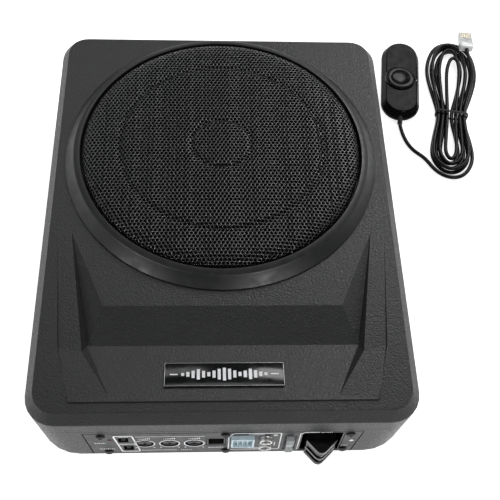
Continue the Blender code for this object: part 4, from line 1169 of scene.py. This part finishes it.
def power_plug_shape():
    full = (54, -163.75), (74.5, -163.75), (66.2, -171.75), (64, -172.75), (61.8, -172.35), (60.4, -171.15)
    slotted = (56.4, -163.75), (73.9, -163.75), (65.8, -171.3), (64, -172.1), (62.8, -171.6), (61.9, -170.4)
    grooved = (54.5, -163.75), (74.1, -163.75), (66.0, -171.4), (64, -172.3), (62.0, -171.9), (60.7, -170.8)
    shape = bmesh.new()
    for outline, low, high in (
        (full, 5.0, 7.6), (grooved, 7.3, 8.5), (full, 8.2, 9.6), (slotted, 9.2, 15.2), (full, 14.8, 18.0),
        (slotted, 17.6, 23.6), (full, 23.2, 24.8), (grooved, 24.5, 25.7), (full, 25.4, 30.0),
    ):
        slab(shape, outline, low, high)
    add_block(shape, (54.4, -164.5, 8.4), (73.8, -146.75, 29), 0.5)
    return outward(shape)


connector_black = moulded("connector_black", 0.004, 0.24, 1600, 0.00004, 0.2)
eased_shell("power_socket_body", "power_socket", 0.25, connector_black)
even_normals(new_piece(
    "power_plug_body", power_plug_shape(), connector_black, "plug", ["power_plug"]
))

# ---------------------------------------------------------------- pilot light
# A small red lens in the panel. It is dark while the amplifier is off.


def lens_shape():
    profile = [
        (0, 0.6), (0.5, 0.56), (0.95, 0.42), (1.25, 0.2), (1.45, -0.1), (1.5, -0.4), (1.5, -5.8), (0, -5.8),
    ]
    return turned(profile, on_panel(-73.6, 31), 40)


lens_material = clear_plastic("lens_dark_red", (0.10, 0.012, 0.01), 0.18, 0.3)
new_piece("pilot_lens", lens_shape(), lens_material, "root", ["power_led"])

# ---------------------------------------------------------------- driver
# An 8-inch paper-cone driver under the grille: pressed steel basket, ferrite motor, rubber half-roll
# surround and gasket, and a corrugated cloth spider. Only glimpses of it show through the holes.


def cone_pulp():
    """Pressed paper with a black wash: fibres show as a soft uneven nap."""
    material, tree, shader, place = new_finish("cone_pulp", (0.002, 0.002, 0.002), 0.8)
    shader.inputs["Specular IOR Level"].default_value = 0.05
    fibres = add_noise(tree, place, 1300, 6, 0.7)
    vary_colour(tree, shader, fibres, "Fac", (0.001, 0.001, 0.001), (0.003, 0.003, 0.003))
    add_bump(tree, shader, fibres, "Fac", 0.5, 0.0002)
    return material


def wound_copper():
    """Enamelled wire: fine turns read as bands across the height."""
    material, tree, shader, place = new_finish("wound_copper", (0.60, 0.26, 0.12), 0.35, 1.0)
    turns = tree.nodes.new("ShaderNodeTexWave")
    turns.bands_direction = "Z"
    turns.inputs["Scale"].default_value = 350
    link(tree, place, "Object", turns, "Vector")
    vary_colour(tree, shader, turns, "Fac", (0.30, 0.11, 0.05), (0.66, 0.30, 0.14), 0.1, 0.9)
    add_bump(tree, shader, turns, "Fac", 0.6, 0.0002)
    return material


def woven_cloth(name, dark, light):
    material, tree, shader, place = new_finish(name, light, 0.9)
    weave = tree.nodes.new("ShaderNodeTexChecker")
    weave.inputs["Scale"].default_value = 1600
    link(tree, place, "Object", weave, "Vector")
    vary_colour(tree, shader, weave, "Fac", dark, light, 0.0, 1.0)
    add_bump(tree, shader, weave, "Fac", 0.5, 0.0002)
    return material


driver_steel = moulded("basket_black_paint", 0.003, 0.5, gloss=0.1)
ferrite = moulded("ferrite_grey", 0.03, 0.7, 600, 0.0002, 0.5)
motor_zinc = plated("motor_zinc", (0.60, 0.61, 0.63), 0.33)
repaint(driver_steel, "driver_basket")
repaint(ferrite, "magnet")
repaint(motor_zinc, "front_pole_plate", "back_plate_and_pole")
repaint(cone_pulp(), "cone", "dust_cap")
surround_rubber = rubber("surround_rubber", (0.003, 0.003, 0.003), 0.7)
surround_rubber.node_tree.nodes["Principled BSDF"].inputs["Specular IOR Level"].default_value = 0.05
repaint(surround_rubber, "surround", "gasket")
repaint(woven_cloth("spider_cloth_varnished", (0.36, 0.24, 0.08), (0.56, 0.40, 0.16)), "spider")
repaint(wound_copper(), "voice_coil", "toroid_coil")

# ---------------------------------------------------------------- amplifier
# One laminate board under the panel with its finned heat sink, wound toroid and two reservoir capacitors.


def board_laminate():
    """Green solder mask over a grid of tracks."""
    material, tree, shader, place = new_finish("board_laminate", (0.02, 0.12, 0.05), 0.35)
    tracks = tree.nodes.new("ShaderNodeTexBrick")
    tracks.inputs["Scale"].default_value = 120
    tracks.inputs["Mortar Size"].default_value = 0.04
    tracks.inputs["Color1"].default_value = (0.015, 0.09, 0.04, 1)
    tracks.inputs["Color2"].default_value = (0.02, 0.12, 0.05, 1)
    tracks.inputs["Mortar"].default_value = (0.05, 0.20, 0.09, 1)
    link(tree, place, "Object", tracks, "Vector")
    link(tree, tracks, "Color", shader, "Base Color")
    add_bump(tree, shader, tracks, "Fac", 0.2, 0.0001)
    return material


repaint(board_laminate(), "circuit_board")
repaint(plated("extruded_aluminium", (0.62, 0.63, 0.64), 0.38), "heat_sink")
repaint(moulded("capacitor_sleeve", 0.02, 0.35), "reservoir_capacitor_1", "reservoir_capacitor_2")
